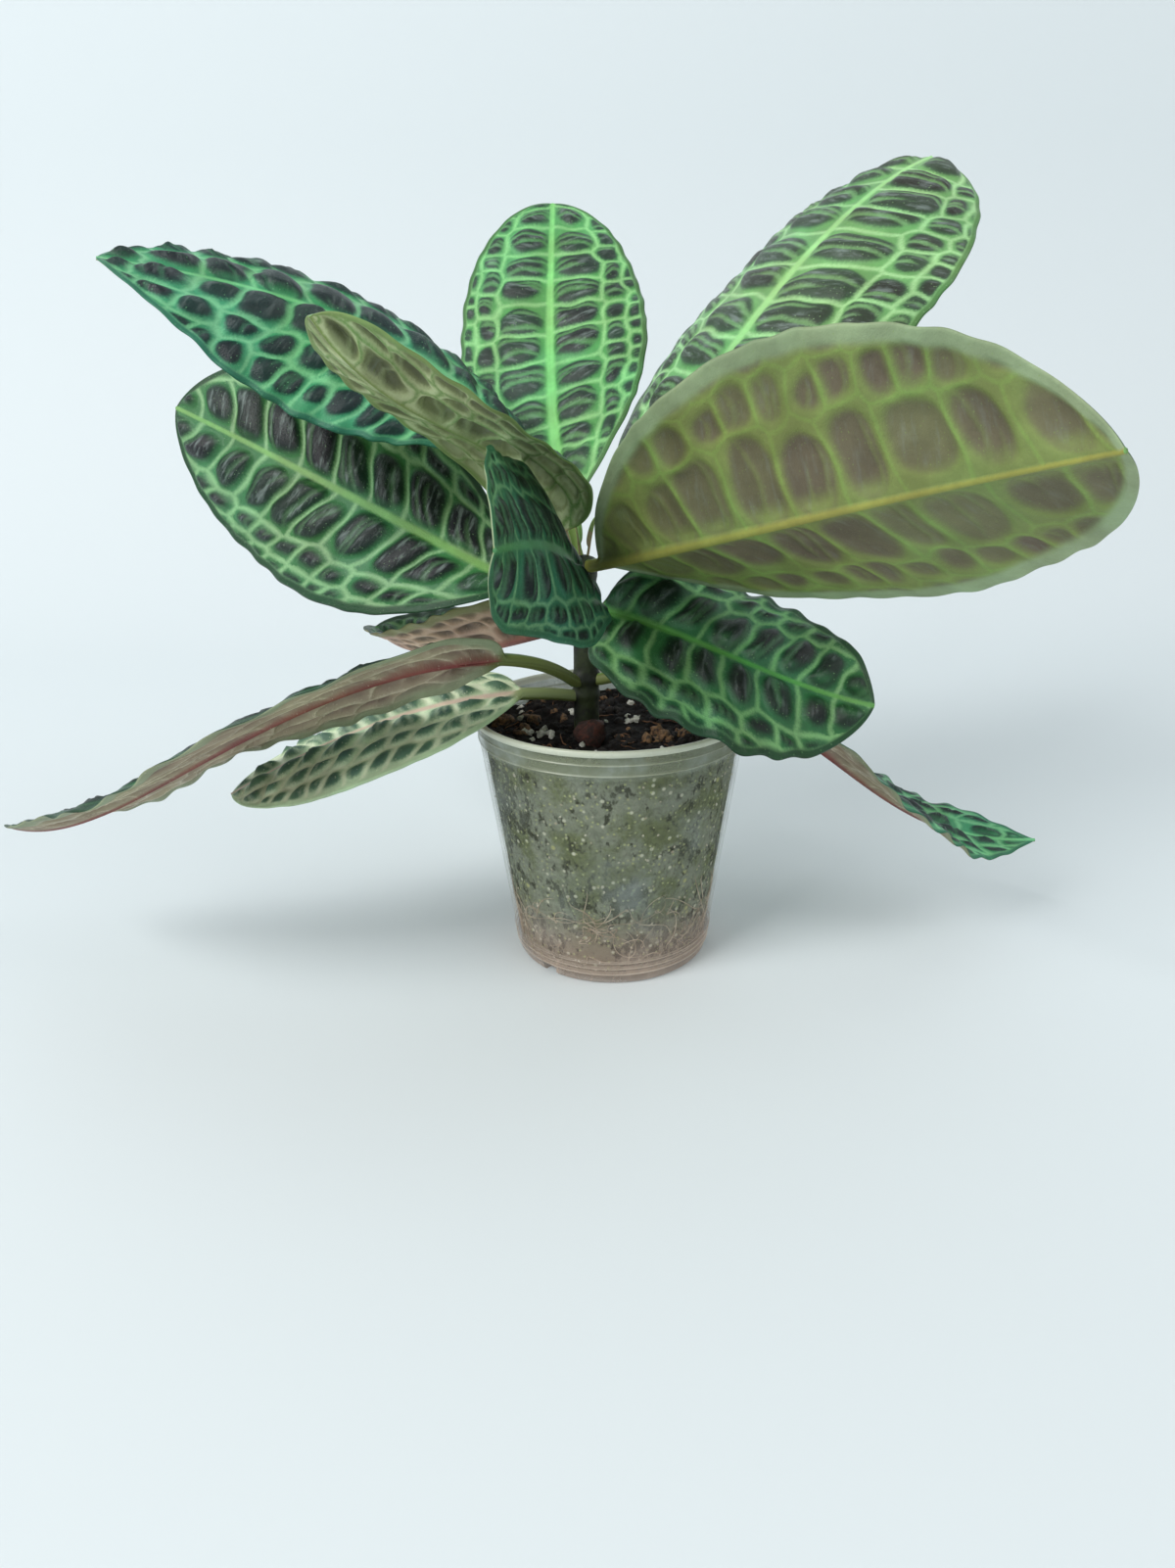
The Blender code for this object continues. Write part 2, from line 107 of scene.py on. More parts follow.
# Leaves
PETIOLE_RADIUS = 2.2
PETIOLE_SINK = 4.5             # how far a petiole runs on into the stem
SHOOT_LENGTH = 60.0            # a leaf shorter than this has a petiole in proportion
SHOOT_OFFSET = 1.4             # of a shoot leaf from the stem's middle
RIB_RADIUS_TIP = 0.65
RIB_REACH = 2.4                # from the middle of the rib to the plain blade
RIB_COLUMNS = 0.12             # share of a leaf's columns that lie beside the rib
BLADE_HALF = 0.4               # half the thickness of a blade
BLADE_OPENING = 6.0            # width over the rib at which the blade is fully flat
MARGIN_ROUNDING = 0.8
TIP_CALM = 14.0                # half width in mm from which the cells bulge fully
ROW_THINNING = 0.45            # how strongly the outer rows of cells run out where a leaf is narrow
VEIN_SWEEP = 0.10              # how far a side vein runs forward to the margin
SPINE_STEPS = 161
TIP_SHARE = 0.04               # of the blade, with stations that close up to the tip
TIP_STATIONS = 14
CELL_POWER = 2.15              # 2 makes cells round, more makes them square
CELL_OUTLINE = 1.0             # a cell's own outline, in half sizes from its middle
DOME_REACH = 8.0               # mm from a vein to the flat top of a cell's dome
CORNER_SOFTNESS = 0.45         # mm over which a cell's outline passes into its borders

# Azimuth, rise and roll are given at the root, the middle and the tip; azimuth 0 is +X and 90 is +Y.
# A fold lifts the left or right side of the blade, at the root and at the tip, and curl bends both down.
# Petiole is a share of the length, and widest the share of the blade where each side is widest.
# Point is how pointed the tip is, and veins counts the side veins on each side. Lean is how much
# further forward they run at the margin than the mesh does, as a share of the blade. Rows names the
# order of the cells, and border is the plain margin's width. Scallop is how far the margin waves out of
# the blade with the cells, and lobes how deep it waves in the blade, as a share of the width, and how often. Shown is the face with the finer mesh: 1 for the upper face, -1 for the underside.
Leaf = namedtuple("Leaf", "name height length azimuth rise roll half_width fold_left fold_right "
                          "curl petiole widest point veins lean rows border "
                          "ruffle scallop lobes upper under shown")

LEAVES = (
    Leaf(name="leaf_upper_left", height=144, length=197, azimuth=(138, 181, 195), rise=(80, 29, 9),
         roll=(-33, 20, 12), half_width=44, fold_left=(-10, 0), fold_right=(-4, 14), curl=47,
         petiole=0.18, widest=(0.5, 0.53), point=0.74, veins=10, lean=0.03,
         rows="even", border=1.6, ruffle=0.6, scallop=0.9, lobes=(0.02, 10),
         upper="green", under="olive", shown=1),
    Leaf(name="leaf_folded", height=146, length=139, azimuth=(223, 238, 218), rise=(88, 21, 57),
         roll=(-34, -6, -25), half_width=28, fold_left=(-10, 12), fold_right=(12, 36), curl=21,
         petiole=0.11, widest=(0.49, 0.47), point=0.47, veins=7, lean=0.04,
         rows="even", border=1.5, ruffle=0.5, scallop=0.5, lobes=(0.008, 7),
         upper="dark", under="khaki", shown=-1),
    Leaf(name="leaf_left", height=131, length=183, azimuth=(164, 155, 146), rise=(24, 22, 16),
         roll=(13, 58, 66), half_width=42, fold_left=(-3, -4), fold_right=(2, 4), curl=23,
         petiole=0.11, widest=(0.52, 0.53), point=0.66, veins=10, lean=0.05,
         rows="long", border=2.6, ruffle=0.6, scallop=0.4, lobes=(0.008, 10),
         upper="dark", under="olive", shown=1),
    Leaf(name="leaf_upright", height=148, length=176, azimuth=(108, 92, 89), rise=(41, 47, 41),
         roll=(53, 15, -3), half_width=38, fold_left=(6, 11), fold_right=(14, 12), curl=30,
         petiole=0.12, widest=(0.52, 0.52), point=0.56, veins=11, lean=-0.07,
         rows="striped", border=1.5, ruffle=0.5, scallop=0.4, lobes=(0.008, 11),
         upper="bright", under="olive", shown=1),
    Leaf(name="leaf_upper_right", height=148, length=211, azimuth=(18, 33, 47), rise=(59, 43, 14),
         roll=(-17, -4, -8), half_width=53, fold_left=(8, -6), fold_right=(4, -8), curl=33,
         petiole=0.1, widest=(0.51, 0.51), point=0.57, veins=11, lean=-0.02,
         rows="striped", border=1.5, ruffle=0.6, scallop=0.4, lobes=(0.008, 11),
         upper="bright_painted_lit", under="olive", shown=1),
    Leaf(name="leaf_right", height=148, length=193, azimuth=(297, 311, 293), rise=(14, 16, 13),
         roll=(41, 50, 49), half_width=49, fold_left=(22, 16), fold_right=(19, 15), curl=7,
         petiole=0.04, widest=(0.5, 0.54), point=0.64, veins=11, lean=-0.06,
         rows="arched", border=3.8, ruffle=0.8, scallop=0.4, lobes=(0.008, 11),
         upper="dark", under="olive", shown=-1),
    Leaf(name="leaf_front_right", height=133, length=107, azimuth=(295, 344, 336), rise=(10, -20, -5),
         roll=(-53, -17, -63), half_width=36, fold_left=(22, 12), fold_right=(7, -4), curl=23,
         petiole=0.07, widest=(0.43, 0.49), point=0.68, veins=8, lean=0.02,
         rows="long", border=2.2, ruffle=1.2, scallop=0.9, lobes=(0.035, 8),
         upper="deep", under="olive", shown=1),
    Leaf(name="leaf_front_twisted", height=137, length=115, azimuth=(267, 254, 267), rise=(46, 14, 8),
         roll=(60, 64, 96), half_width=31, fold_left=(12, -15), fold_right=(11, -11), curl=1,
         petiole=0.08, widest=(0.48, 0.5), point=0.64, veins=8, lean=0.0,
         rows="striped", border=1.6, ruffle=1.0, scallop=0.4, lobes=(0.09, 3),
         upper="teal", under="olive", shown=1),
    Leaf(name="leaf_back_left", height=125, length=122, azimuth=(120, 146, 126), rise=(-15, -15, 22),
         roll=(-38, 6, 18), half_width=25, fold_left=(50, 48), fold_right=(20, 28), curl=1,
         petiole=0.14, widest=(0.46, 0.47), point=0.53, veins=8, lean=0.03,
         rows="even", border=3.0, ruffle=0.6, scallop=0.6, lobes=(0.03, 8),
         upper="deep", under="pink", shown=-1),
    Leaf(name="leaf_low_left", height=107, length=248, azimuth=(229, 178, 146), rise=(38, -27, -4),
         roll=(-100, -22, -31), half_width=29, fold_left=(-19, 7), fold_right=(-21, 17), curl=1,
         petiole=0.14, widest=(0.45, 0.52), point=0.7, veins=11, lean=0.05,
         rows="even", border=3.0, ruffle=1.4, scallop=0.7, lobes=(0.06, 11),
         upper="deep", under="brown", shown=-1),
    Leaf(name="leaf_low_pale", height=101, length=131, azimuth=(208, 186, 179), rise=(15, -16, -30),
         roll=(29, 7, 14), half_width=30, fold_left=(0, 1), fold_right=(3, 1), curl=28,
         petiole=0.15, widest=(0.55, 0.38), point=0.68, veins=10, lean=0.05,
         rows="even", border=1.2, ruffle=0.3, scallop=0.15, lobes=(0.008, 10),
         upper="pale", under="brown", shown=1),
    Leaf(name="leaf_low_right", height=107, length=192, azimuth=(-29, 13, -5), rise=(19, -39, 6),
         roll=(45, 9, -20), half_width=24, fold_left=(13, 9), fold_right=(14, 6), curl=7,
         petiole=0.27, widest=(0.52, 0.53), point=0.97, veins=9, lean=0.03,
         rows="even", border=1.0, ruffle=1.6, scallop=1.0, lobes=(0.06, 9),
         upper="green", under="brown", shown=1),
    Leaf(name="shoot_leaf_left", height=151, length=17, azimuth=(160, 160, 160), rise=(84, 82, 80),
         roll=(0, 0, 0), half_width=2.6, fold_left=(30, 20), fold_right=(30, 20), curl=10,
         petiole=0.2, widest=(0.45, 0.45), point=0.62, veins=3, lean=0.0,
         rows="even", border=0.3, ruffle=0.0, scallop=0.0, lobes=(0.008, 3),
         upper="bright", under="khaki", shown=1),
    Leaf(name="shoot_leaf_right", height=151, length=13, azimuth=(340, 340, 340), rise=(80, 78, 76),
         roll=(0, 0, 0), half_width=2.2, fold_left=(30, 20), fold_right=(30, 20), curl=10,
         petiole=0.2, widest=(0.45, 0.45), point=0.62, veins=3, lean=0.0,
         rows="even", border=0.3, ruffle=0.0, scallop=0.0, lobes=(0.008, 3),
         upper="bright", under="khaki", shown=1),
)

# A row of cells between the veins: where it lies and how far it reaches, as shares of the half width,
# how many cells it has for each side vein, how far they bulge, how wide their veins are, and how far
# across a cell its fine veins may end, from -1 at the side near the rib to 1.
CellRow = namedtuple("CellRow", "place reach per_vein shift height vein fine_ends")
CELL_ROWS = {
    "long": (CellRow(0.29, 0.26, 1.0, 0.5, 1.0, 1.0, (-2.2, 1.0)),
             CellRow(0.68, 0.11, 1.3, 0.0, 0.8, 1.15, (-3.0, 1.0)),
             CellRow(0.895, 0.085, 1.6, 0.3, 0.5, 1.1, (-3.0, 1.0))),
    "striped": (CellRow(0.29, 0.27, 1.0, 0.5, 0.75, 1.0, (-0.8, 2.2)),
                CellRow(0.68, 0.12, 1.3, 0.0, 0.4, 0.9, (-1.6, 1.6)),
                CellRow(0.895, 0.085, 1.8, 0.3, 0.2, 0.9, (-3.0, 1.0))),
    "even": (CellRow(0.20, 0.19, 1.0, 0.5, 1.0, 1.0, (-2.4, 1.2)),
             CellRow(0.52, 0.13, 1.2, 0.0, 0.9, 0.95, (-3.0, 1.0)),
             CellRow(0.78, 0.12, 1.5, 0.4, 0.7, 0.85, (-3.0, 1.0))),
    "arched": (CellRow(0.27, 0.27, 0.9, 0.5, 0.5, 1.0, (-2.0, 1.0)),
               CellRow(0.69, 0.13, 1.5, 0.25, 0.45, 0.9, (-3.0, 1.0)),
               CellRow(0.95, 0.10, 1.4, 0.3, 0.2, 0.6, (-3.0, 1.0))),
}
WANDER = {"long": 0.09, "striped": 0.07, "even": 0.14, "arched": 0.07}
# Fine veins run inside a cell along its side veins, at these shares of its half width from its middle.
FINE_PLACES = (-0.26, 0.30)
FINE_SPREAD = 0.16             # how far those places vary from cell to cell
FINE_BEND = 0.34               # how far a fine vein bows forward, as a share of the cell's half width
FINE_DIP = 0.28                # how deep a fine vein sinks into a cell's dome
FINE_ROOM = 5.0                # half the width of the narrowest cell with full fine veins, in mm

# Colours of a leaf's face, from the middle of a vein to the middle of a cell, then its rib, border and
# petiole. Line is half a vein's width, soft the distance over which one colour passes into the next,
# fine the strength of the fine veins, and rough the roughness. Green is how far from the rib the cells
# have their full colour, base how far from the blade's start as a share of it, rib_line half the width
# of the rib's colour at mid length, fade how far the border's colour reaches into the cells, and the last
# value how pale the painted sheen is: streaks of painted highlight that run across a cell's dome.
Finish = namedtuple("Finish", "vein edge dark cell rib border stalk "
                              "line soft fine rough green base rib_line fade bloom")
FINISHES = {
    "bright": Finish("#97d68b", "#58a459", "#2c5139", "#1c2420", "#90dd82", "#4a7a40", "#86a650",
                     1.5, 1.1, 0.6, 0.34, 5.0, 0.12, 1.9, 0.5, 0.4),
    # A paler copy of the bright finish: painted light on the upper right leaf, which faces the light.
    "bright_painted_lit": Finish("#b0e29c", "#73ae66", "#3a5a3c", "#29291f", "#a6e08e", "#5b8a48", "#86a650",
                    1.5, 1.1, 0.65, 0.34, 5.0, 0.12, 1.7, 0.5, 0.45),
    "green": Finish("#7ac489", "#3d9562", "#0d3d30", "#05151b", "#78ca88", "#2c7354", "#6f9448",
                    1.7, 1.1, 0.25, 0.32, 4.0, 0.12, 1.2, 0.5, 0.15),
    "dark": Finish("#93bf88", "#3e7c46", "#12361f", "#0d1117", "#82b566", "#1d4a26", "#6d8c3c",
                   1.6, 1.4, 0.38, 0.31, 5.0, 0.12, 1.1, 1.5, 0.45),
    "deep": Finish("#74a86b", "#2c663b", "#0a2a18", "#050f0d", "#559647", "#1b4426", "#566f34",
                   1.3, 1.5, 0.45, 0.34, 8.0, 0.12, 1.1, 0.5, 0.2),
    "teal": Finish("#77ac7b", "#317050", "#0b2a20", "#04141a", "#4f8f5c", "#2f6a49", "#566f34",
                    1.1, 1.1, 0.6, 0.36, 4.0, 0.12, 1.4, 0.5, 0.2),
    "pale": Finish("#e3ecca", "#bcd2aa", "#5f8264", "#38574a", "#dcc3ae", "#bcd6aa", "#8a9666",
                   1.7, 1.2, 0.4, 0.45, 2.0, 0.05, 0.9, 1.0, 0.1),
    "olive": Finish("#86a053", "#808f50", "#767950", "#6a5f4e", "#9c9c4c", "#97aa82", "#8a8c42",
                    1.0, 1.3, 0.30, 0.5, 8.0, 0.28, 0.8, 3.0, 0.12),
    "khaki": Finish("#6c8f48", "#b9c594", "#7f8a5a", "#62674a", "#7f9450", "#7c9455", "#9a8768",
                    1.3, 1.0, 0.40, 0.5, 3.0, 0.5, 0.5, 2.0, 0.15),
    "pink": Finish("#dcbaa4", "#c9a38d", "#927a69", "#6c5b4d", "#b0705e", "#99966c", "#7c7a44",
                    1.4, 1.2, 0.3, 0.5, 2.0, 0.05, 1.0, 3.0, 0.1),
    "brown": Finish("#d2c8ac", "#a79a80", "#968670", "#84705f", "#83423b", "#939c7c", "#6f7a42",
                    0.6, 1.4, 0.4, 0.48, 3.0, 0.05, 1.4, 5.0, 0.2),
}
SHEEN_STREAK_SCALE = (0.42, 0.1, 1.0)  # of the painted sheen streaks' noise, per mm along and across a leaf

# Camera: the photograph's own, found from the pot's outline
CAMERA_PLACE = (-9.0, -394.0, 221.7)
CAMERA_PITCH = 21.7
CAMERA_ROLL = -0.82
FOCAL_PIXELS = 1150.0
IMAGE_HEIGHT = 1601.0
SENSOR = 36.0


def linear_colour(text):
    """A colour written as #rrggbb, as linear red, green, blue and alpha."""
    shares = np.array([int(text[i:i + 2], 16) for i in (1, 3, 5)]) / 255
    linear = np.where(shares <= 0.04045, shares / 12.92, ((shares + 0.055) / 1.055) ** 2.4)
    return (*(float(value) for value in linear), 1.0)


def smooth_step(low, high, value):
    """0 up to low, 1 from high, and 3t^2 - 2t^3 between them."""
    share = np.clip((value - low) / (high - low), 0.0, 1.0)
    return share * share * (3 - 2 * share)


def waves(draw, x, y, count=7, longest=1.0, shortest=0.3):
    """A smooth random field from -1 to 1: the mean of sine waves of random direction, length and phase."""
    total = np.zeros(np.broadcast(x, y).shape)
    for _ in range(count):
        turn = draw.uniform(0, 2 * pi)
        pace = 2 * pi / draw.uniform(shortest, longest)
        total += np.sin(pace * (x * cos(turn) + y * sin(turn)) + draw.uniform(0, 2 * pi))
    return total / count * 1.6


def surface_mesh(name, points, polygons, values=None):
    """A smooth mesh from (n, 3) points in millimetres, arrays of polygons and values at the points."""
    mesh = bpy.data.meshes.new(name)
    corners = np.concatenate([group.ravel() for group in polygons]).astype(np.int32)
    sizes = np.concatenate([np.full(len(group), group.shape[1]) for group in polygons])
    starts = np.concatenate([[0], np.cumsum(sizes)[:-1]]).astype(np.int32)
    mesh.vertices.add(len(points))
    mesh.vertices.foreach_set("co", (points * MM).astype(np.float32).ravel())
    mesh.loops.add(len(corners))
    mesh.loops.foreach_set("vertex_index", corners)
    mesh.polygons.add(len(starts))
    mesh.polygons.foreach_set("loop_start", starts)
    mesh.update(calc_edges=True)
    for label, value in (values or {}).items():
        if value.ndim == 1:
            layer = mesh.attributes.new(label, "FLOAT", "POINT")
            layer.data.foreach_set("value", value.astype(np.float32))
        else:
            layer = mesh.attributes.new(label, "FLOAT_VECTOR", "POINT")
            layer.data.foreach_set("vector", value.astype(np.float32).ravel())
    mesh.validate()
    mesh.shade_smooth()
    return mesh


def add_piece(name, mesh, replaced=()):
    """Put a finished mesh into the scene as a piece that rides on the plant."""
    piece = bpy.data.objects.new(name, mesh)
    bpy.context.scene.collection.objects.link(piece)
    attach(piece, "root")
    if replaced:
        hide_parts(*replaced)
    return piece


def grid_quads(index):
    """Quads between the neighbouring rows and columns of a grid of point numbers."""
    corners = (index[:-1, :-1], index[:-1, 1:], index[1:, 1:], index[1:, :-1])
    return np.stack(corners, axis=-1).reshape(-1, 4)


def fan(loop, centre):
    """Triangles from each side of a closed loop of point numbers to one centre point."""
    return np.stack([loop, np.roll(loop, -1), np.full(len(loop), centre)], axis=-1)


def turned_surface(profile, sides):
    """A closed profile of (radius, height) carried round Z: radius*cos, radius*sin and height, as a grid."""
    radius, height = np.array(profile).T
    turn = np.arange(sides) * 2 * pi / sides
    points = np.stack([np.outer(radius, np.cos(turn)), np.outer(radius, np.sin(turn)),
                       np.repeat(height[:, None], sides, axis=1)], axis=-1)
    index = np.arange(len(profile) * sides).reshape(len(profile), sides)
    return points, np.concatenate([index, index[:, :1]], axis=1)


def lumps_mesh(name, draw, centres, sizes, squeeze):
    """Closed lumps: small spheres with each point moved in or out at random, then squeezed and turned."""
    rings = np.linspace(0.0, pi, LUMP_RINGS + 1)[1:-1]
    turn = np.arange(LUMP_SIDES) * 2 * pi / LUMP_SIDES
    ball = np.stack([np.outer(np.sin(rings), np.cos(turn)), np.outer(np.sin(rings), np.sin(turn)),
                     np.repeat(np.cos(rings)[:, None], LUMP_SIDES, axis=1)], axis=-1).reshape(-1, 3)
    ball = np.concatenate([ball, [(0.0, 0.0, 1.0), (0.0, 0.0, -1.0)]])
    index = np.arange(len(ball) - 2).reshape(-1, LUMP_SIDES)
    looped = np.concatenate([index, index[:, :1]], axis=1)
    groups = [grid_quads(looped)[:, ::-1], fan(index[0], len(ball) - 2), fan(index[-1][::-1], len(ball) - 1)]
    count = len(centres)
    shape = ball * draw.uniform(0.75, 1.2, (count, len(ball), 1)) * draw.uniform(squeeze, 1.0, (count, 1, 3))
    turned = np.linalg.qr(draw.normal(size=(count, 3, 3)))[0]
    turned[:, :, 0] *= np.linalg.det(turned)[:, None]
    points = (shape * np.asarray(sizes)[:, None, None]) @ turned + np.asarray(centres)[:, None, :]
    starts = np.arange(count)[:, None, None] * len(ball)
    return surface_mesh(name, points.reshape(-1, 3), [(group + starts).reshape(-1, group.shape[1]) for group in groups])


def threads_mesh(name, paths, radii):
    """Closed thin tubes along paths of points, (count, steps, 3), that taper to both ends."""
    along = np.gradient(paths, axis=1)
    along /= np.linalg.norm(along, axis=-1, keepdims=True)
    first = np.cross(along, (0.3, 0.5, 0.81))
    first /= np.linalg.norm(first, axis=-1, keepdims=True)
    second = np.cross(along, first)
    count, steps = paths.shape[:2]
    turn = np.arange(THREAD_SIDES) * 2 * pi / THREAD_SIDES
    taper = 0.15 + 0.85 * np.sin(np.linspace(0.0, pi, steps)) ** 0.5
    size = (np.asarray(radii)[:, None] * taper)[..., None, None]
    rings = (first[:, :, None] * np.cos(turn)[:, None] + second[:, :, None] * np.sin(turn)[:, None]) * size
    points = np.concatenate([(paths[:, :, None] + rings).reshape(count, -1, 3), paths[:, :1], paths[:, -1:]], axis=1)
    index = np.arange(steps * THREAD_SIDES).reshape(steps, -1)
    looped = np.concatenate([index, index[:, :1]], axis=1)
    groups = [grid_quads(looped), fan(index[0][::-1], index.size), fan(index[-1], index.size + 1)]
    starts = np.arange(count)[:, None, None] * points.shape[1]
    return surface_mesh(name, points.reshape(-1, 3), [(group + starts).reshape(-1, group.shape[1]) for group in groups])


def new_material(name):
    """An empty node material and its Principled shader."""
    material = bpy.data.materials.new(name)
    material.use_nodes = True
    return material, material.node_tree, material.node_tree.nodes["Principled BSDF"]


def add_node(tree, kind, inputs=None, **settings):
    """A node with its settings, and its inputs linked to sockets or set to values."""
    node = tree.nodes.new(kind)
    for name, value in settings.items():
        setattr(node, name, value)
    for key, value in (inputs or {}).items():
        if isinstance(value, bpy.types.NodeSocket):
            tree.links.new(value, node.inputs[key])
        else:
            node.inputs[key].default_value = value
    return node


def attribute(tree, name, output="Fac"):
    """A value that the mesh keeps at its points."""
    return add_node(tree, "ShaderNodeAttribute", attribute_name=name).outputs[output]


def step_node(tree, value, low, high, start=0.0, end=1.0):
    """A smooth step from start to end while the value goes from low to high."""
    return add_node(tree, "ShaderNodeMapRange",
                    {"Value": value, "From Min": low, "From Max": high, "To Min": start, "To Max": end},
                    interpolation_type="SMOOTHSTEP").outputs[0]


def math_node(tree, operation, first, second=0.0):
    """One step of arithmetic."""
    return add_node(tree, "ShaderNodeMath", {0: first, 1: second}, operation=operation).outputs[0]


def mix_node(tree, share, first, second, blend="MIX"):
    """Two colours mixed by a share."""
    return add_node(tree, "ShaderNodeMix", {0: share, 6: first, 7: second},
                    data_type="RGBA", blend_type=blend).outputs[2]


def noise_node(tree, place, scale, detail=2.0, roughness=0.5, distortion=0.0):
    """Fractal noise from 0 to 1 at a place."""
    return add_node(tree, "ShaderNodeTexNoise",
                    {"Vector": place, "Scale": scale, "Detail": detail, "Roughness": roughness,
                     "Distortion": distortion}).outputs[0]


def object_place(tree):
    """The object's own coordinates, in metres."""
    return add_node(tree, "ShaderNodeTexCoord").outputs["Object"]


def stretched_place(tree, scale, turn):
    """The object's own coordinates, turned and then scaled by axis."""
    return add_node(tree, "ShaderNodeMapping", {"Vector": object_place(tree), "Rotation": turn, "Scale": scale},
                    vector_type="POINT").outputs[0]


def bump_node(tree, height, strength, distance):
    """A bumped normal."""
    return add_node(tree, "ShaderNodeBump",
                    {"Height": height, "Strength": strength, "Distance": distance}).outputs[0]


def mottled_material(name, first, second, scale, roughness, lift):
    """Two colours mixed by fractal noise, which also lifts the surface by up to lift metres."""
    material, tree, shader = new_material(name)
    grain = noise_node(tree, object_place(tree), scale, 5.0, 0.65)
    colour = mix_node(tree, step_node(tree, grain, 0.35, 0.65), linear_colour(first), linear_colour(second))
    tree.links.new(colour, shader.inputs["Base Color"])
    shader.inputs["Roughness"].default_value = roughness
    tree.links.new(bump_node(tree, grain, 0.7, lift), shader.inputs["Normal"])
    return material


# Leaf shapes

def three_values(values, u):
    """The parabola through a value at the root, the middle and the tip of a leaf."""
    root, middle, tip = values
    return root * (1 - u) * (1 - 2 * u) + 4 * middle * u * (1 - u) + tip * u * (2 * u - 1)


def stem_radius(height):
    """The stem's radius: a slow taper, with a swelling where each leaf grows from it."""
    share = min(max((height - SOIL_LEVEL) / (STEM_TOP - SOIL_LEVEL), 0.0), 1.0)
    swelling = max(exp(-((height - leaf.height) / NODE_REACH) ** 2) for leaf in LEAVES)
    return STEM_RADIUS_LOW + (STEM_RADIUS_HIGH - STEM_RADIUS_LOW) * share + NODE_SWELLING * swelling


def leaf_root(leaf, azimuth, rise):
    """Where a petiole leaves the stem's side, or the stem's top for a shoot leaf."""
    if leaf.height < STEM_TOP:
        away = stem_radius(leaf.height) + GAP + PETIOLE_RADIUS * abs(sin(rise))
        height = leaf.height
    else:
        away = SHOOT_OFFSET
        height = STEM_TOP + GAP
    return np.array([STEM_X + away * cos(azimuth), STEM_Y + away * sin(azimuth), height])


def spine_of(leaf):
    """Points along the middle of a leaf, with the directions across it and out of its upper face.

    The direction along the leaf turns by the azimuth and rise at each share u of its length, and the
    points are its running sum. The first point lies below the root, inside the stem.
    """
    sink = PETIOLE_SINK / leaf.length
    u = np.concatenate([[-sink], np.linspace(0.0, 1.0, SPINE_STEPS)])
    azimuth = np.radians(three_values(leaf.azimuth, u))
    rise = np.radians(three_values(leaf.rise, u))
    roll = np.radians(three_values(leaf.roll, u))[:, None]
    level = np.stack([np.cos(azimuth), np.sin(azimuth), np.zeros_like(u)], axis=-1)
    up = np.array([0.0, 0.0, 1.0])
    along = level * np.cos(rise)[:, None] + up * np.sin(rise)[:, None]
    lift = up * np.cos(rise)[:, None] - level * np.sin(rise)[:, None]
    side = np.cross(along, lift)
    across = side * np.cos(roll) + lift * np.sin(roll)
    normal = lift * np.cos(roll) - side * np.sin(roll)
    steps = (along[1:] + along[:-1]) / 2 * leaf.length * np.diff(u)[:, None]
    way = np.concatenate([np.zeros((1, 3)), np.cumsum(steps, axis=0)])
    root = leaf_root(leaf, azimuth[1], rise[1])
    middle = root + way - way[1]
    middle[0, :2] += 0.8 * (np.array([STEM_X, STEM_Y]) - root[:2])
    return u, middle, across, normal


def blade_share(leaf, u):
    """0 where the blade begins, 1 at the tip."""
    return np.clip((u - leaf.petiole) / (1 - leaf.petiole), 0.0, 1.0)


def rib_radius(leaf, u):
    """The petiole's radius, shrinking along the blade's rib to the tip."""
    size = min(1.0, leaf.length / SHOOT_LENGTH)
    return size * (PETIOLE_RADIUS + (RIB_RADIUS_TIP - PETIOLE_RADIUS) * blade_share(leaf, u))


def half_width(leaf, u, v):
    """Half the blade's width: x^a (1 - x)^b scaled to 1 at its side's widest place, never under the rib."""
    x = blade_share(leaf, u)
    widest = np.where(v < 0, leaf.widest[0], leaf.widest[1])
    start = leaf.point * widest / (1 - widest)
    peak = widest ** start * (1 - widest) ** leaf.point
    depth, count = leaf.lobes
    turns = 2 * pi * x * count
    lobed = 1 + depth * (0.6 * np.sin(turns + 1.3 * np.sin(turns / 3.1) + np.sign(v)) + 0.4 * np.sin(turns / 2.3))
    return np.hypot(rib_radius(leaf, u), lobed * leaf.half_width * x ** start * (1 - x) ** leaf.point / peak)


def cell_middles(draw, rows, veins):
    """Cells of all rows on one side of a leaf: middle and half size along and across, height and vein.

    Two more values place each cell's fine veins, and two more say how far across it they reach.
    """
    cells = []
    for row in rows:
        count = round(veins * row.per_vein)
        places = (np.arange(-1, count + 1) + row.shift + draw.uniform(-0.2, 0.2, count + 2)) / count
        fine_places = np.array(FINE_PLACES)[:, None] + draw.uniform(-FINE_SPREAD, FINE_SPREAD, (2, count + 2))
        fine_ends = draw.uniform(*row.fine_ends, (2, count + 2))
        cells.append(np.stack([places, row.place + row.reach * draw.uniform(-0.15, 0.15, count + 2),
                               draw.uniform(0.42, 0.60, count + 2) / count,
                               row.reach * draw.uniform(0.88, 1.12, count + 2),
                               row.height * draw.uniform(0.75, 1.1, count + 2),
                               np.full(count + 2, row.vein), draw.uniform(0, 1, count + 2),
                               *fine_places, *fine_ends]))
    return np.concatenate(cells, axis=1)


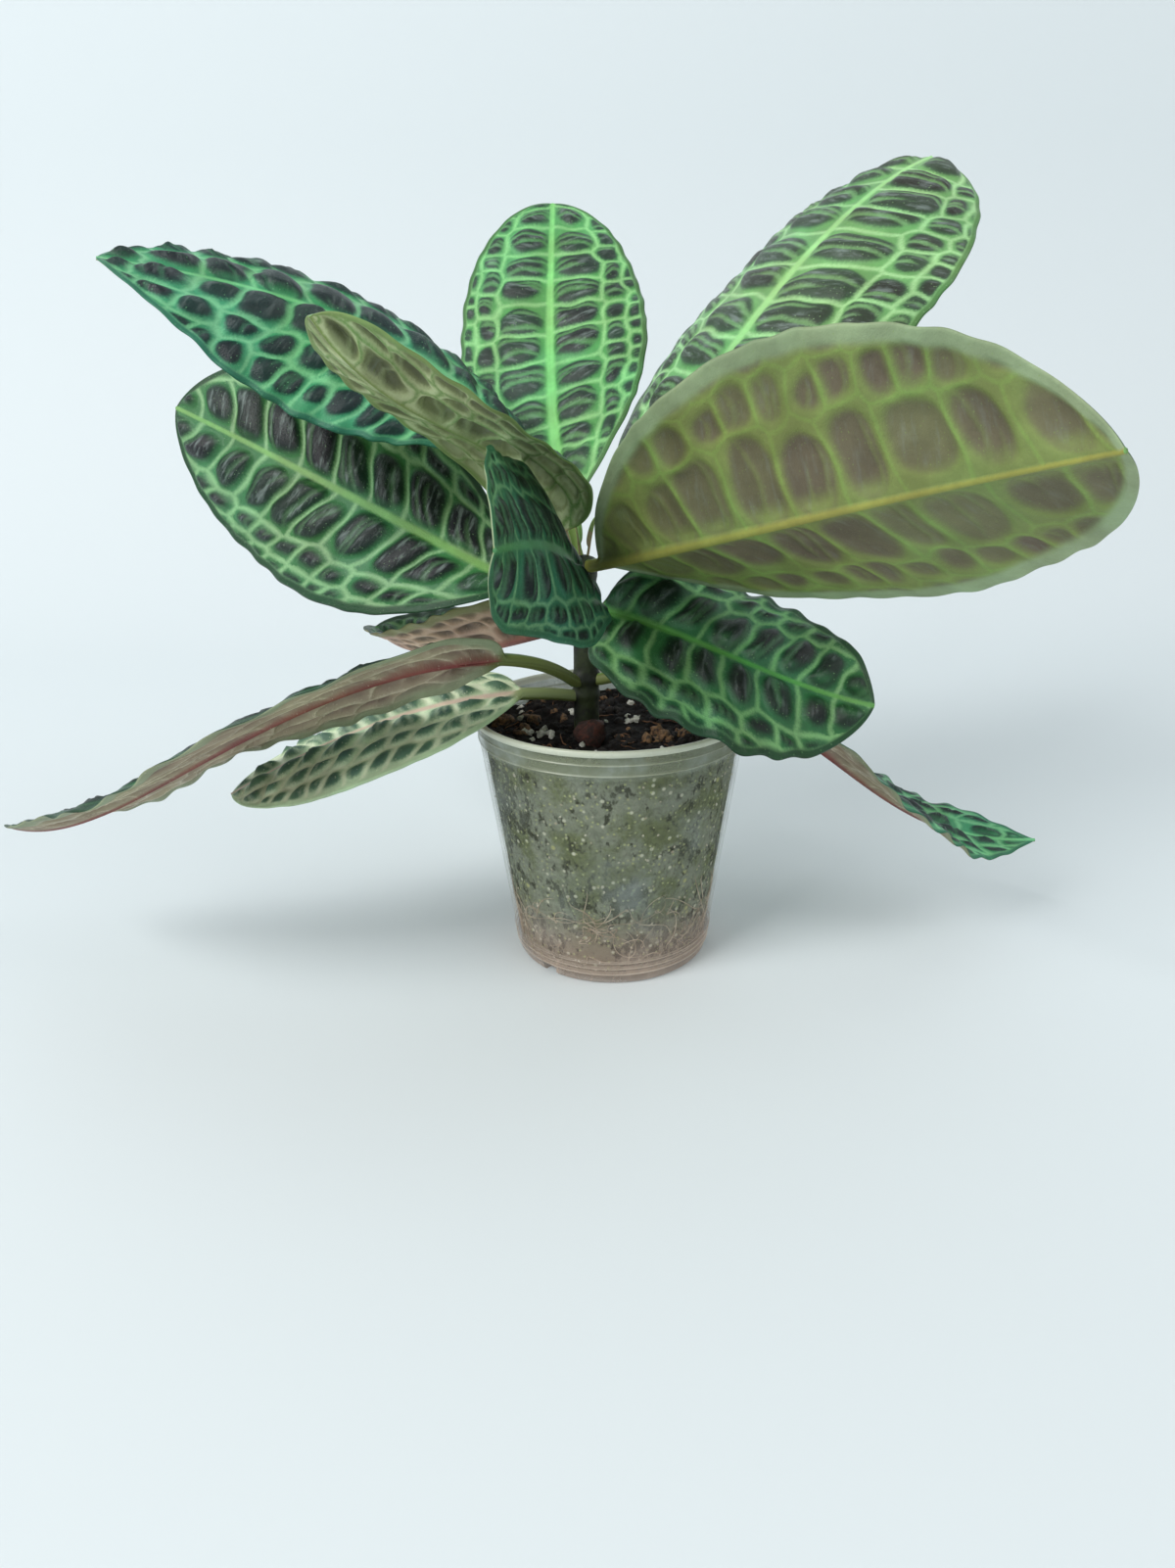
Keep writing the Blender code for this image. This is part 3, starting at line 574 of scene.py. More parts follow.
def nearest_cells(cells, x, q, length, width):
    """How far each point is from the border of its cell, its rounded outline and its fine veins, in mm.

    The distance to a cell is a superellipse of its half sizes, and the border lies where the two
    nearest cells are equally far. The gap between the two over its slope gives millimetres. A fine
    vein keeps to its share of the cell's half width, bows forward, and fades out at its end. Also
    returns the number of the nearest cell.
    """
    middle_x, middle_q, half_x, half_q = cells[:4]
    ahead = (x[..., None] - middle_x) / half_x
    aside = (q[..., None] - middle_q) / half_q
    far = (np.abs(ahead) ** CELL_POWER + np.abs(aside) ** CELL_POWER) ** (1 / CELL_POWER) + 1e-6
    order = np.argpartition(far, 1, axis=-1)[..., :2]
    far_two = np.take_along_axis(far, order, axis=-1)
    swap = far_two[..., :1] > far_two[..., 1:]
    order = np.where(swap, order[..., ::-1], order)
    between, own = [], []
    for values, half, scale in ((ahead, half_x, length), (aside, half_q, width)):
        slope = np.sign(values) * (np.abs(values) / far) ** (CELL_POWER - 1) / half
        two = np.take_along_axis(slope, order, axis=-1)
        between.append((two[..., 1] - two[..., 0]) / scale)
        own.append(two[..., 0] / scale)
    border = np.abs(far_two[..., 1] - far_two[..., 0]) / np.maximum(np.hypot(*between), 0.02)
    outline = (CELL_OUTLINE - far_two.min(axis=-1)) / np.maximum(np.hypot(*own), 0.02)
    nearest = order[..., 0]
    own_ahead = np.take_along_axis(ahead, order[..., :1], axis=-1)[..., 0]
    own_aside = np.take_along_axis(aside, order[..., :1], axis=-1)[..., 0]
    fine = np.full(x.shape, 9.0)
    for place, end in zip(cells[7:9], cells[9:11]):
        apart = np.abs(own_ahead - place[nearest] - FINE_BEND * (0.4 - own_aside ** 2))
        faded = np.maximum(own_aside - end[nearest], 0.0) * 1.6
        fine = np.minimum(fine, apart * half_x[nearest] * length + faded)
    fine = fine + 0.6 * np.maximum(FINE_ROOM - half_x[nearest] * length, 0.0)
    return border, outline, fine, nearest


def softer_least(first, second):
    """The lesser of two distances in millimetres, with a rounded corner where they are alike."""
    return -CORNER_SOFTNESS * np.logaddexp(-first / CORNER_SOFTNESS, -second / CORNER_SOFTNESS)


def leaf_pattern(leaf, number, x, v, width, margin):
    """Distances from the veins, cells and fine veins, the bulge and the cell's own number at each point.

    The rows of cells keep to shares of the half width, which shrink where the leaf is narrow, so that
    the outer rows run out there. The plain border closes the outermost cells.
    """
    length = leaf.length * (1 - leaf.petiole)
    thinned = np.clip(width / leaf.half_width, 0.02, 1.0) ** ROW_THINNING
    q = np.abs(v) * thinned
    width = width / thinned
    values = [np.zeros(v.shape) for _ in range(5)]
    for side in (-1, 1):
        draw = np.random.default_rng([number, side + 1])
        cells = cell_middles(draw, CELL_ROWS[leaf.rows], leaf.veins)
        wavy_x = x + waves(draw, x * leaf.veins, q * 3, longest=2.0, shortest=0.7) * WANDER[leaf.rows] / leaf.veins
        wavy_q = q + waves(draw, x * leaf.veins, q * 3, longest=2.0, shortest=0.7) * 0.03
        border, outline, fine, nearest = nearest_cells(cells, wavy_x, wavy_q, length, width)
        fine = fine + 0.2 * waves(draw, x * leaf.veins, q * 5, longest=0.8, shortest=0.3)
        own = cells[:, nearest]
        closed = 1.4 * (margin - leaf.border)
        line = np.maximum(softer_least(border, closed) + CORNER_SOFTNESS * 0.5, 0.0) / own[5]
        inside = softer_least(softer_least(border, outline), closed) + CORNER_SOFTNESS * 0.7
        inside = np.maximum(inside, 0.0) / own[5]
        dome = 1 - (1 - np.clip(inside / DOME_REACH, 0.0, 1.0)) ** 2
        ribbed = 1 - FINE_DIP * np.exp(-(fine / 1.1) ** 2)
        found = (line, inside, fine, own[4] * dome * ribbed, own[6])
        here = v < 0 if side < 0 else v >= 0
        values = [np.where(here, new, old) for new, old in zip(found, values)]
    return values


def leaf_stations(leaf, spacing):
    """Stations along the leaf: even ones, that close up to the tip as the square of their number."""
    sink = PETIOLE_SINK / leaf.length
    blade = leaf.length * (1 - leaf.petiole)
    stalk = np.linspace(0.0, leaf.petiole, max(4, round(leaf.length * leaf.petiole / (2 * spacing))))
    even = np.linspace(0.0, 1 - TIP_SHARE, max(8, round(blade / spacing)))
    closing = 1 - TIP_SHARE * (1 - np.linspace(0.0, 1.0, TIP_STATIONS)) ** 2
    x = np.concatenate([even, closing[1:]])
    return np.concatenate([[-sink], stalk[:-1], leaf.petiole + (1 - leaf.petiole) * x])


def leaf_face(leaf, number, s, t, quilt, face):
    """One face of a leaf at stations s and columns t from -1 to 1, as points and values.

    A point lies at u along the spine and at a distance away from it. The section is an arc that leaves
    the spine at the side's fold angle and bends down by the curl. The face stands off it by half the
    thickness, a round one in the petiole and under the rib, and both faces bulge with the cells.
    """
    s, t = np.meshgrid(s, t, indexing="ij")
    x = blade_share(leaf, s)
    reach = np.minimum(RIB_REACH / half_width(leaf, s, t), 0.35)
    beside = np.abs(t) / RIB_COLUMNS
    flat = np.where(beside < 1, reach * beside,
                    reach + (1 - reach) * (np.abs(t) - RIB_COLUMNS) / (1 - RIB_COLUMNS))
    u = s + (1 - leaf.petiole) * VEIN_SWEEP * flat ** 1.5 * np.sin(pi * x)
    width = half_width(leaf, u, t)
    rib = rib_radius(leaf, u)
    opened = np.clip((width - rib) / BLADE_OPENING, 0.0, 1.0)
    around = np.sin(pi / 2 * np.abs(t))
    away = width * (around + (flat - around) * opened)

    left = leaf.fold_left[0] + (leaf.fold_left[1] - leaf.fold_left[0]) * u
    right = leaf.fold_right[0] + (leaf.fold_right[1] - leaf.fold_right[0]) * u
    fold = np.radians(np.where(t < 0, left, right))
    bend = radians(leaf.curl) / leaf.half_width
    tilt = fold - bend * away
    sideways = np.sign(t) * (np.sin(fold) - np.sin(tilt)) / bend
    upwards = (np.cos(tilt) - np.cos(fold)) / bend
    lean = np.sign(t) * np.sin(tilt)

    spine_u, *spine_values = spine_of(leaf)
    middle, across, normal = (np.stack([np.interp(u, spine_u, values[:, axis]) for axis in range(3)], axis=-1)
                              for values in spine_values)
    upright = np.where(t == 0.0, 1.0, np.cos(tilt))
    outward = normal * upright[..., None] - across * lean[..., None]
    sheet = middle + across * sideways[..., None] + normal * upwards[..., None]

    v = np.sign(t) * flat
    margin = width - away
    line, inside, fine, bulge, cell = leaf_pattern(leaf, number, x - leaf.lean * flat, v, width, margin)
    size = min(1.0, leaf.half_width / 30)
    phase = np.where(t > 0, 0.0, 2.0)
    ruffle = leaf.ruffle * v ** 2 * np.sin(pi * leaf.veins / 2 * x + phase) * np.sin(pi * x)
    cells = quilt * size * bulge * smooth_step(0.8, 4.0, away) * smooth_step(0.0, TIP_CALM, width)
    cells = cells * (0.3 + 0.7 * smooth_step(0.0, 8.0, margin))
    scallop = leaf.scallop * flat ** 3 * np.sin(2 * pi * leaf.veins * 1.1 * x + phase) * np.sin(pi * x)
    sheet += outward * ((cells + ruffle + scallop) * opened)[..., None]

    thin = min(BLADE_HALF, leaf.half_width / 5) * np.sqrt(np.clip(margin / MARGIN_ROUNDING, 0.0, 1.0))
    thick = np.maximum(thin, np.sqrt(np.maximum(rib ** 2 - away ** 2, 0.0)))
    if face > 0:
        offset = thin + (thick - thin) * (1 - opened)
    else:
        offset = -thick
    place = np.stack([x * leaf.length * (1 - leaf.petiole), v * width, np.zeros_like(x)], axis=-1)
    values = {"line_mm": line, "inside_mm": inside, "fine_mm": fine, "rib_mm": away, "cell": cell,
              "stalk": (1 - opened) * (x < 0.5), "border_mm": margin - leaf.border, "along": x,
              "place_mm": place}
    return sheet + outward * offset[..., None], values


def leaf_mesh(leaf, number, spacing, quilt):
    """A closed leaf from its two faces, which share the points of the margin."""
    s = leaf_stations(leaf, spacing)
    columns = max(6, round(leaf.half_width * (1 + RIB_COLUMNS) / spacing))
    fine, coarse = np.linspace(-1, 1, 2 * columns + 1), np.linspace(-1, 1, 2 * (columns // 2) + 1)
    top_columns, low_columns = (fine, coarse) if leaf.shown > 0 else (coarse, fine)
    top, top_values = leaf_face(leaf, number, s, top_columns, quilt, 1)
    low, low_values = leaf_face(leaf, number, s, low_columns, quilt, -1)
    rows = len(s)
    top_index = np.arange(rows * len(top_columns)).reshape(rows, -1)
    inner = np.arange(rows * (len(low_columns) - 2)).reshape(rows, -1) + top_index.size
    low_index = np.concatenate([top_index[:, :1], inner, top_index[:, -1:]], axis=1)
    points = [top.reshape(-1, 3), low[:, 1:-1].reshape(-1, 3)]
    loops = [np.concatenate([index_top, index_low[-2:0:-1]])
             for index_top, index_low in zip(top_index[[0, -1]], low_index[[0, -1]])]
    count = top_index.size + inner.size
    flat_points = np.concatenate(points)
    ends = [flat_points[loop].mean(axis=0) for loop in loops]
    all_points = np.concatenate([flat_points, ends])
    values = {}
    for label, value in top_values.items():
        shape = (-1,) + value.shape[2:]
        low_part = low_values[label][:, 1:-1].reshape(shape)
        joined = np.concatenate([value.reshape(shape), low_part])
        values[label] = np.concatenate([joined, [joined[loop].mean(axis=0) for loop in loops]])
    top_quads = grid_quads(top_index)
    low_quads = grid_quads(low_index)[:, ::-1]
    caps = [fan(loops[0][::-1], count), fan(loops[1], count + 1)]
    mesh = surface_mesh(leaf.name, all_points, [top_quads, low_quads, *caps], values)
    faces = np.zeros(len(mesh.polygons), dtype=np.int32)
    faces[len(top_quads):len(top_quads) + len(low_quads)] = 1
    mesh.polygons.foreach_set("material_index", faces)
    return mesh


# Leaf finishes

def leaf_material(name, finish):
    """A leaf's face: pale veins that pass into dark cells, a rib, a plain border, fine veins, and streaks of painted
    sheen over the cells.
    """
    material, tree, shader = new_material(name)
    vein, edge, dark, cell, rib, border, stalk = (linear_colour(text) for text in finish[:7])
    place = attribute(tree, "place_mm", "Vector")
    ragged = math_node(tree, "SUBTRACT", noise_node(tree, place, 1.2, 4.0, 0.75), 0.5)
    ragged = math_node(tree, "MULTIPLY", ragged, 1.9)
    line_mm = math_node(tree, "ADD", attribute(tree, "line_mm"), ragged)
    inside_mm = math_node(tree, "ADD", attribute(tree, "inside_mm"), ragged)
    fine_mm = math_node(tree, "ADD", attribute(tree, "fine_mm"), ragged)
    rib_mm = math_node(tree, "ADD", attribute(tree, "rib_mm"), math_node(tree, "MULTIPLY", ragged, 0.6))
    line, soft = finish.line, finish.soft
    inner = mix_node(tree, math_node(tree, "MULTIPLY", attribute(tree, "cell"), 0.6), cell, dark)
    inner = mix_node(tree, step_node(tree, rib_mm, 1.0, finish.green), edge, inner)
    inner = mix_node(tree, step_node(tree, attribute(tree, "along"), 0.01, finish.base), edge, inner)
    # Painted highlight: pale streaks of painted sheen across the cells' domes, kept off the veins.
    across = add_node(tree, "ShaderNodeVectorMath", {0: place, 1: SHEEN_STREAK_SCALE}, operation="MULTIPLY").outputs[0]
    bloom = step_node(tree, noise_node(tree, across, 1.0, 4.0, 0.6), 0.48, 0.7, 0.0, finish.bloom)
    bloom = math_node(tree, "MULTIPLY", bloom, step_node(tree, inside_mm, 1.0, 4.0))
    inner = mix_node(tree, bloom, inner, linear_colour("#a3b3ad"))
    colour = mix_node(tree, step_node(tree, inside_mm, 0.9 * soft, 3.0 * soft), dark, inner)
    fine_share = step_node(tree, fine_mm, 0.0, 1.7, finish.fine, 0.0)
    colour = mix_node(tree, fine_share, colour, mix_node(tree, 0.3, edge, vein))
    colour = mix_node(tree, step_node(tree, inside_mm, 0.2 * soft, 1.9 * soft), edge, colour)
    colour = mix_node(tree, step_node(tree, line_mm, 0.0, line + 0.4 * soft), vein, colour)
    border_mm = attribute(tree, "border_mm")
    colour = mix_node(tree, step_node(tree, border_mm, 0.0, finish.fade, 0.7, 0.0), colour, border)
    colour = mix_node(tree, step_node(tree, border_mm, -0.3, 1.3 * soft), border, colour)
    tapered = math_node(tree, "DIVIDE", rib_mm, step_node(tree, attribute(tree, "along"), 0.0, 1.0, 1.4, 0.6))
    colour = mix_node(tree, step_node(tree, tapered, 0.4 * finish.rib_line, finish.rib_line + 0.9), rib, colour)
    colour = mix_node(tree, step_node(tree, attribute(tree, "stalk"), 0.1, 0.9), colour, stalk)
    patches = noise_node(tree, place, 0.05, 4.0, 0.65)
    value = step_node(tree, patches, 0.3, 0.75, 0.78, 1.16)
    hue = step_node(tree, noise_node(tree, place, 0.025, 2.0), 0.3, 0.7, 0.485, 0.515)
    tone = add_node(tree, "ShaderNodeHueSaturation", {"Color": colour, "Value": value, "Hue": hue}).outputs[0]
    dots = add_node(tree, "ShaderNodeTexVoronoi", {"Vector": place, "Scale": 0.9})
    dot_kind = add_node(tree, "ShaderNodeSeparateColor", {0: dots.outputs["Color"]}).outputs[0]
    dot_share = math_node(tree, "MULTIPLY", step_node(tree, dots.outputs["Distance"], 0.1, 0.22, 0.45, 0.0),
                          math_node(tree, "GREATER_THAN", dot_kind, 0.6))
    tone = mix_node(tree, dot_share, tone, vein)
    tree.links.new(tone, shader.inputs["Base Color"])
    grain = noise_node(tree, place, 1.6, 3.0, 0.7)
    rough = step_node(tree, grain, 0.3, 0.7, finish.rough - 0.06, finish.rough + 0.12)
    tree.links.new(rough, shader.inputs["Roughness"])
    tree.links.new(bump_node(tree, grain, 0.5, 0.0005), shader.inputs["Normal"])
    shader.inputs["Specular IOR Level"].default_value = 0.38
    return material


# Pot

def wall_radius(height):
    """The pot's outer radius at a height: a straight taper from base to rim."""
    return POT_BASE_RADIUS + (POT_RIM_RADIUS - POT_BASE_RADIUS) * height / POT_HEIGHT


def ridge_profile(height):
    """One low round ridge on the outside of the pot, as half a cosine wave."""
    turns = np.linspace(-1.0, 1.0, 7)
    return [(wall_radius(height - RIDGE_HALF * turn) + RIDGE_PROUD * (1 + cos(pi * turn)) / 2,
             height - RIDGE_HALF * turn) for turn in turns]


def pot_profile():
    """Up the inside from the floor's centre, over the round lip, and down the outside to the base."""
    side_foot = POT_FLOOR + POT_CORNER
    corner = np.linspace(0.0, pi / 2, 6)
    profile = [(0.05, POT_FLOOR)]
    inner_foot = POT_BASE_RADIUS - POT_WALL - POT_CORNER
    profile += [(inner_foot + POT_CORNER * sin(turn), side_foot - POT_CORNER * cos(turn)) for turn in corner]
    for height in np.linspace(side_foot + 6, POT_HEIGHT - 1.0, 14):
        profile.append((wall_radius(height) - POT_WALL, height))
    lip_middle = (POT_RIM_RADIUS + LIP_PROUD + POT_RIM_RADIUS - POT_WALL) / 2
    lip_half = (LIP_PROUD + POT_WALL) / 2
    for turn in np.linspace(pi, 0.0, 9):
        profile.append((lip_middle + lip_half * cos(turn), POT_HEIGHT - 0.6 + 0.6 * sin(turn)))
    lip_foot = POT_HEIGHT - LIP_HEIGHT
    profile += [(POT_RIM_RADIUS + LIP_PROUD, lip_foot + 0.3), (POT_RIM_RADIUS + LIP_PROUD - 0.3, lip_foot),
                (wall_radius(lip_foot), lip_foot - 0.1)]
    for height in [POT_HEIGHT - drop for drop in RIDGE_DROPS]:
        profile += ridge_profile(height)
    for height in np.linspace(POT_HEIGHT - RIDGE_DROPS[-1] - 5, FOOT_RING_HEIGHTS[0] + 4, 12):
        profile.append((wall_radius(height), height))
    for height in FOOT_RING_HEIGHTS:
        profile += ridge_profile(height)
    for turn in corner:
        profile.append((POT_BASE_RADIUS - POT_CORNER * (1 - cos(turn)), POT_CORNER * (1 - sin(turn))))
    return profile + [(0.05, 0.0)]


def plastic_material():
    """Clear plastic gone cloudy: part see-through, hazy in patches, scratched, with a tan foot."""
    material, tree, shader = new_material("cloudy_clear_plastic")
    place = object_place(tree)
    height = add_node(tree, "ShaderNodeSeparateXYZ", {0: place}).outputs[2]
    haze = noise_node(tree, place, 38.0, 5.0, 0.65)
    wisps = noise_node(tree, stretched_place(tree, (250.0, 250.0, 40.0), (0.3, 0.5, 0.0)), 1.0, 3.0, 0.6)
    ragged_height = math_node(tree, "ADD", height, math_node(tree, "MULTIPLY", haze, 0.016))
    tan = step_node(tree, ragged_height, 0.018, 0.044, 1.0, 0.0)
    colour = mix_node(tree, step_node(tree, haze, 0.42, 0.7), linear_colour("#8d957a"), linear_colour("#a3aea6"))
    colour = mix_node(tree, tan, colour, linear_colour("#c9b4a3"))
    rings = 0.0
    for ring in [POT_HEIGHT - drop for drop in RIDGE_DROPS] + list(FOOT_RING_HEIGHTS):
        away = math_node(tree, "ABSOLUTE", math_node(tree, "SUBTRACT", height, ring * MM))
        rings = math_node(tree, "ADD", step_node(tree, away, 0.0, RIDGE_HALF * MM, 0.3, 0.0), rings)
    colour = mix_node(tree, rings, colour, linear_colour("#dbdccb"))
    lip = step_node(tree, height, 0.0932, 0.0938)
    colour = mix_node(tree, lip, colour, linear_colour("#d3d8c4"))
    tree.links.new(colour, shader.inputs["Base Color"])
    clear = step_node(tree, haze, 0.4, 0.75, 0.08, 0.36)
    scratch = step_node(tree, wisps, 0.64, 0.74, 0.0, 0.35)
    band = step_node(tree, height, 0.0835, 0.087, 0.0, 0.45)
    foot = step_node(tree, height, 0.0, 0.012, 0.35, 0.0)
    solid = math_node(tree, "ADD", math_node(tree, "ADD", clear, scratch), math_node(tree, "ADD", band, foot))
    solid = math_node(tree, "ADD", solid, rings)
    solid = math_node(tree, "MAXIMUM", solid, math_node(tree, "MULTIPLY", lip, 0.85))
    solid = math_node(tree, "MINIMUM", solid, 1.0)
    tree.links.new(solid, shader.inputs["Alpha"])
    tree.links.new(step_node(tree, haze, 0.3, 0.7, 0.22, 0.42), shader.inputs["Roughness"])
    tree.links.new(bump_node(tree, wisps, 0.15, 0.0003), shader.inputs["Normal"])
    shader.inputs["Specular IOR Level"].default_value = 0.5
    return material


def cut_notches(mesh):
    """Cut the drainage notches through the bottom corner with Boolean blocks, and keep the result."""
    pot = bpy.data.objects.new("pot_uncut", mesh)
    bpy.context.scene.collection.objects.link(pot)
    blocks = []
    corners = np.array([(x, y, z) for x in (-0.5, 0.5) for y in (-0.5, 0.5) for z in (-1.0, 1.0)])
    sides = np.array([(0, 1, 3, 2), (4, 6, 7, 5), (0, 4, 5, 1), (2, 3, 7, 6), (0, 2, 6, 4), (1, 5, 7, 3)])
    for number, degrees in enumerate(NOTCH_TURNS):
        angle = radians(degrees)
        reach = POT_BASE_RADIUS - NOTCH_DEPTH / 2 + 1.0
        block = corners * (NOTCH_DEPTH, NOTCH_WIDTH, NOTCH_HEIGHT) + (reach, 0.0, 0.0)
        turn = np.array([[cos(angle), sin(angle), 0], [-sin(angle), cos(angle), 0], [0, 0, 1]])
        cutter = bpy.data.objects.new(f"notch_{number}", surface_mesh("notch", block @ turn, [sides]))
        bpy.context.scene.collection.objects.link(cutter)
        blocks.append(cutter)
        cut = pot.modifiers.new("Notch", "BOOLEAN")
        cut.operation = "DIFFERENCE"
        cut.object = cutter
    bpy.context.view_layer.update()
    done = bpy.data.meshes.new_from_object(pot.evaluated_get(bpy.context.evaluated_depsgraph_get()))
    for extra in [pot, *blocks]:
        bpy.data.objects.remove(extra)
    return done


def build_pot(settings):
    """The clear pot."""
    profile = pot_profile()
    points, index = turned_surface(profile, settings.sides)
    caps = [fan(index[0, :-1][::-1], points.shape[0] * points.shape[1]),
            fan(index[-1, :-1], points.shape[0] * points.shape[1] + 1)]
    centres = np.array([(0.0, 0.0, profile[0][1]), (0.0, 0.0, profile[-1][1])])
    mesh = surface_mesh("pot_shell", np.concatenate([points.reshape(-1, 3), centres]),
                        [grid_quads(index)[:, ::-1], *[cap[:, ::-1] for cap in caps]])
    mesh = cut_notches(mesh)
    mesh.materials.clear()
    mesh.materials.append(plastic_material())
    mesh.shade_smooth()
    mesh.set_sharp_from_angle(angle=radians(50))
    add_piece("pot_shell", mesh, ["pot"])


# Soil

def soil_height(seed, x, y):
    """Height of the soil's top: the level, with broad and small random waves."""
    draw = np.random.default_rng(seed)
    broad = waves(draw, x, y, count=8, longest=30.0, shortest=9.0)
    small = waves(draw, x, y, count=14, longest=7.0, shortest=2.4)
    return SOIL_LEVEL + np.minimum(1.2 * broad + 1.0 * small, 3.0)


def soil_side_radius(height):
    """The soil's radius against the pot's wall."""
    return wall_radius(height) - POT_WALL - SOIL_GAP


def soil_material():
    """Dark damp mix on top; against the wall, mossy green and grey with dark and pale specks."""
    material, tree, shader = new_material("potting_mix")
    place = object_place(tree)
    height = add_node(tree, "ShaderNodeSeparateXYZ", {0: place}).outputs[2]
    coarse = noise_node(tree, place, 55.0, 5.0, 0.65)
    fine = noise_node(tree, place, 520.0, 4.0, 0.7)
    top = mix_node(tree, step_node(tree, fine, 0.4, 0.7), linear_colour("#020101"), linear_colour("#170f0a"))
    moss = mix_node(tree, step_node(tree, coarse, 0.4, 0.6), linear_colour("#6d7650"), linear_colour("#8e9484"))
    moss = mix_node(tree, step_node(tree, fine, 0.35, 0.6, 0.45, 0.0), moss, linear_colour("#2d3424"))
    tan = math_node(tree, "ADD", height, math_node(tree, "MULTIPLY", coarse, 0.02))
    moss = mix_node(tree, step_node(tree, tan, 0.018, 0.042, 0.85, 0.0), moss, linear_colour("#928475"))
    slanted = stretched_place(tree, (300.0, 300.0, 190.0), (0.8, 0.9, 0.4))
    blots = math_node(tree, "ADD", noise_node(tree, slanted, 1.0, 4.0, 0.7),
                      math_node(tree, "MULTIPLY", noise_node(tree, place, 42.0, 2.0), 0.55))
    moss = mix_node(tree, step_node(tree, blots, 0.785, 0.87, 0.0, 0.95), moss, linear_colour("#17150c"))
    for scale, share, low, high, text in ((300.0, 0.70, 0.12, 0.3, "#dcdcc6"), (560.0, 0.55, 0.15, 0.36, "#b3b985"),
                                          (190.0, 0.86, 0.12, 0.24, "#b9b97e")):
        specks = add_node(tree, "ShaderNodeTexVoronoi", {"Vector": place, "Scale": scale})
        chosen = add_node(tree, "ShaderNodeSeparateColor", {0: specks.outputs["Color"]}).outputs[0]
        bright = math_node(tree, "MULTIPLY", step_node(tree, specks.outputs["Distance"], low, high, 0.9, 0.0),
                           math_node(tree, "GREATER_THAN", chosen, share))
        moss = mix_node(tree, bright, moss, linear_colour(text))
    side = step_node(tree, height, SIDE_TOP * MM, (SIDE_TOP + 1.5) * MM, 1.0, 0.0)
    tree.links.new(mix_node(tree, side, top, moss), shader.inputs["Base Color"])
    shader.inputs["Roughness"].default_value = 0.85
    shader.inputs["Specular IOR Level"].default_value = 0.2
    tree.links.new(bump_node(tree, fine, 0.9, 0.0012), shader.inputs["Normal"])
    return material


def soil_plug(settings):
    """The soil's mesh: a tapered plug whose side follows the wall, and a rough top."""
    sides = settings.sides
    turn = np.arange(sides) * 2 * pi / sides
    circle = np.stack([np.cos(turn), np.sin(turn)], axis=-1)
    spots = np.linspace(0.02, 1.0, settings.rings)[:, None, None] * soil_side_radius(SOIL_LEVEL) * circle
    rough = soil_height(settings.seed, spots[..., 0], spots[..., 1])
    heights = np.linspace(SOIL_LEVEL - 1.5, POT_FLOOR + POT_CORNER, 60)
    draw = np.random.default_rng(settings.seed)
    uneven = waves(draw, turn * POT_BASE_RADIUS, heights[:, None], count=20, longest=16.0, shortest=3.0)
    radius = soil_side_radius(heights)[:, None] + 0.25 * uneven * np.cos(turn / 2) ** 2
    down = radius[..., None] * circle
    foot = (POT_BASE_RADIUS - POT_WALL - POT_CORNER) * circle
    points = np.concatenate([np.concatenate([spots, rough[..., None]], axis=-1),
                             np.concatenate([down, np.broadcast_to(heights[:, None, None], (60, sides, 1))], axis=-1),
                             np.column_stack([foot, np.full(sides, POT_FLOOR + 0.3)])[None]])
    count = points.shape[0] * sides
    index = np.arange(count).reshape(-1, sides)
    looped = np.concatenate([index, index[:, :1]], axis=1)
    centres = np.array([(0.0, 0.0, rough[0].mean()), (0.0, 0.0, POT_FLOOR + 0.3)])
    return surface_mesh("soil_plug", np.concatenate([points.reshape(-1, 3), centres]),
                        [grid_quads(looped)[:, ::-1], fan(index[0], count), fan(index[-1][::-1], count + 1)])


def around_spots(draw, spots):
    """Random places round each spot: x, y, spread and count."""
    return np.concatenate([draw.normal(size=(count, 2)) * spread / 2 + (x, y) for x, y, spread, count in spots])


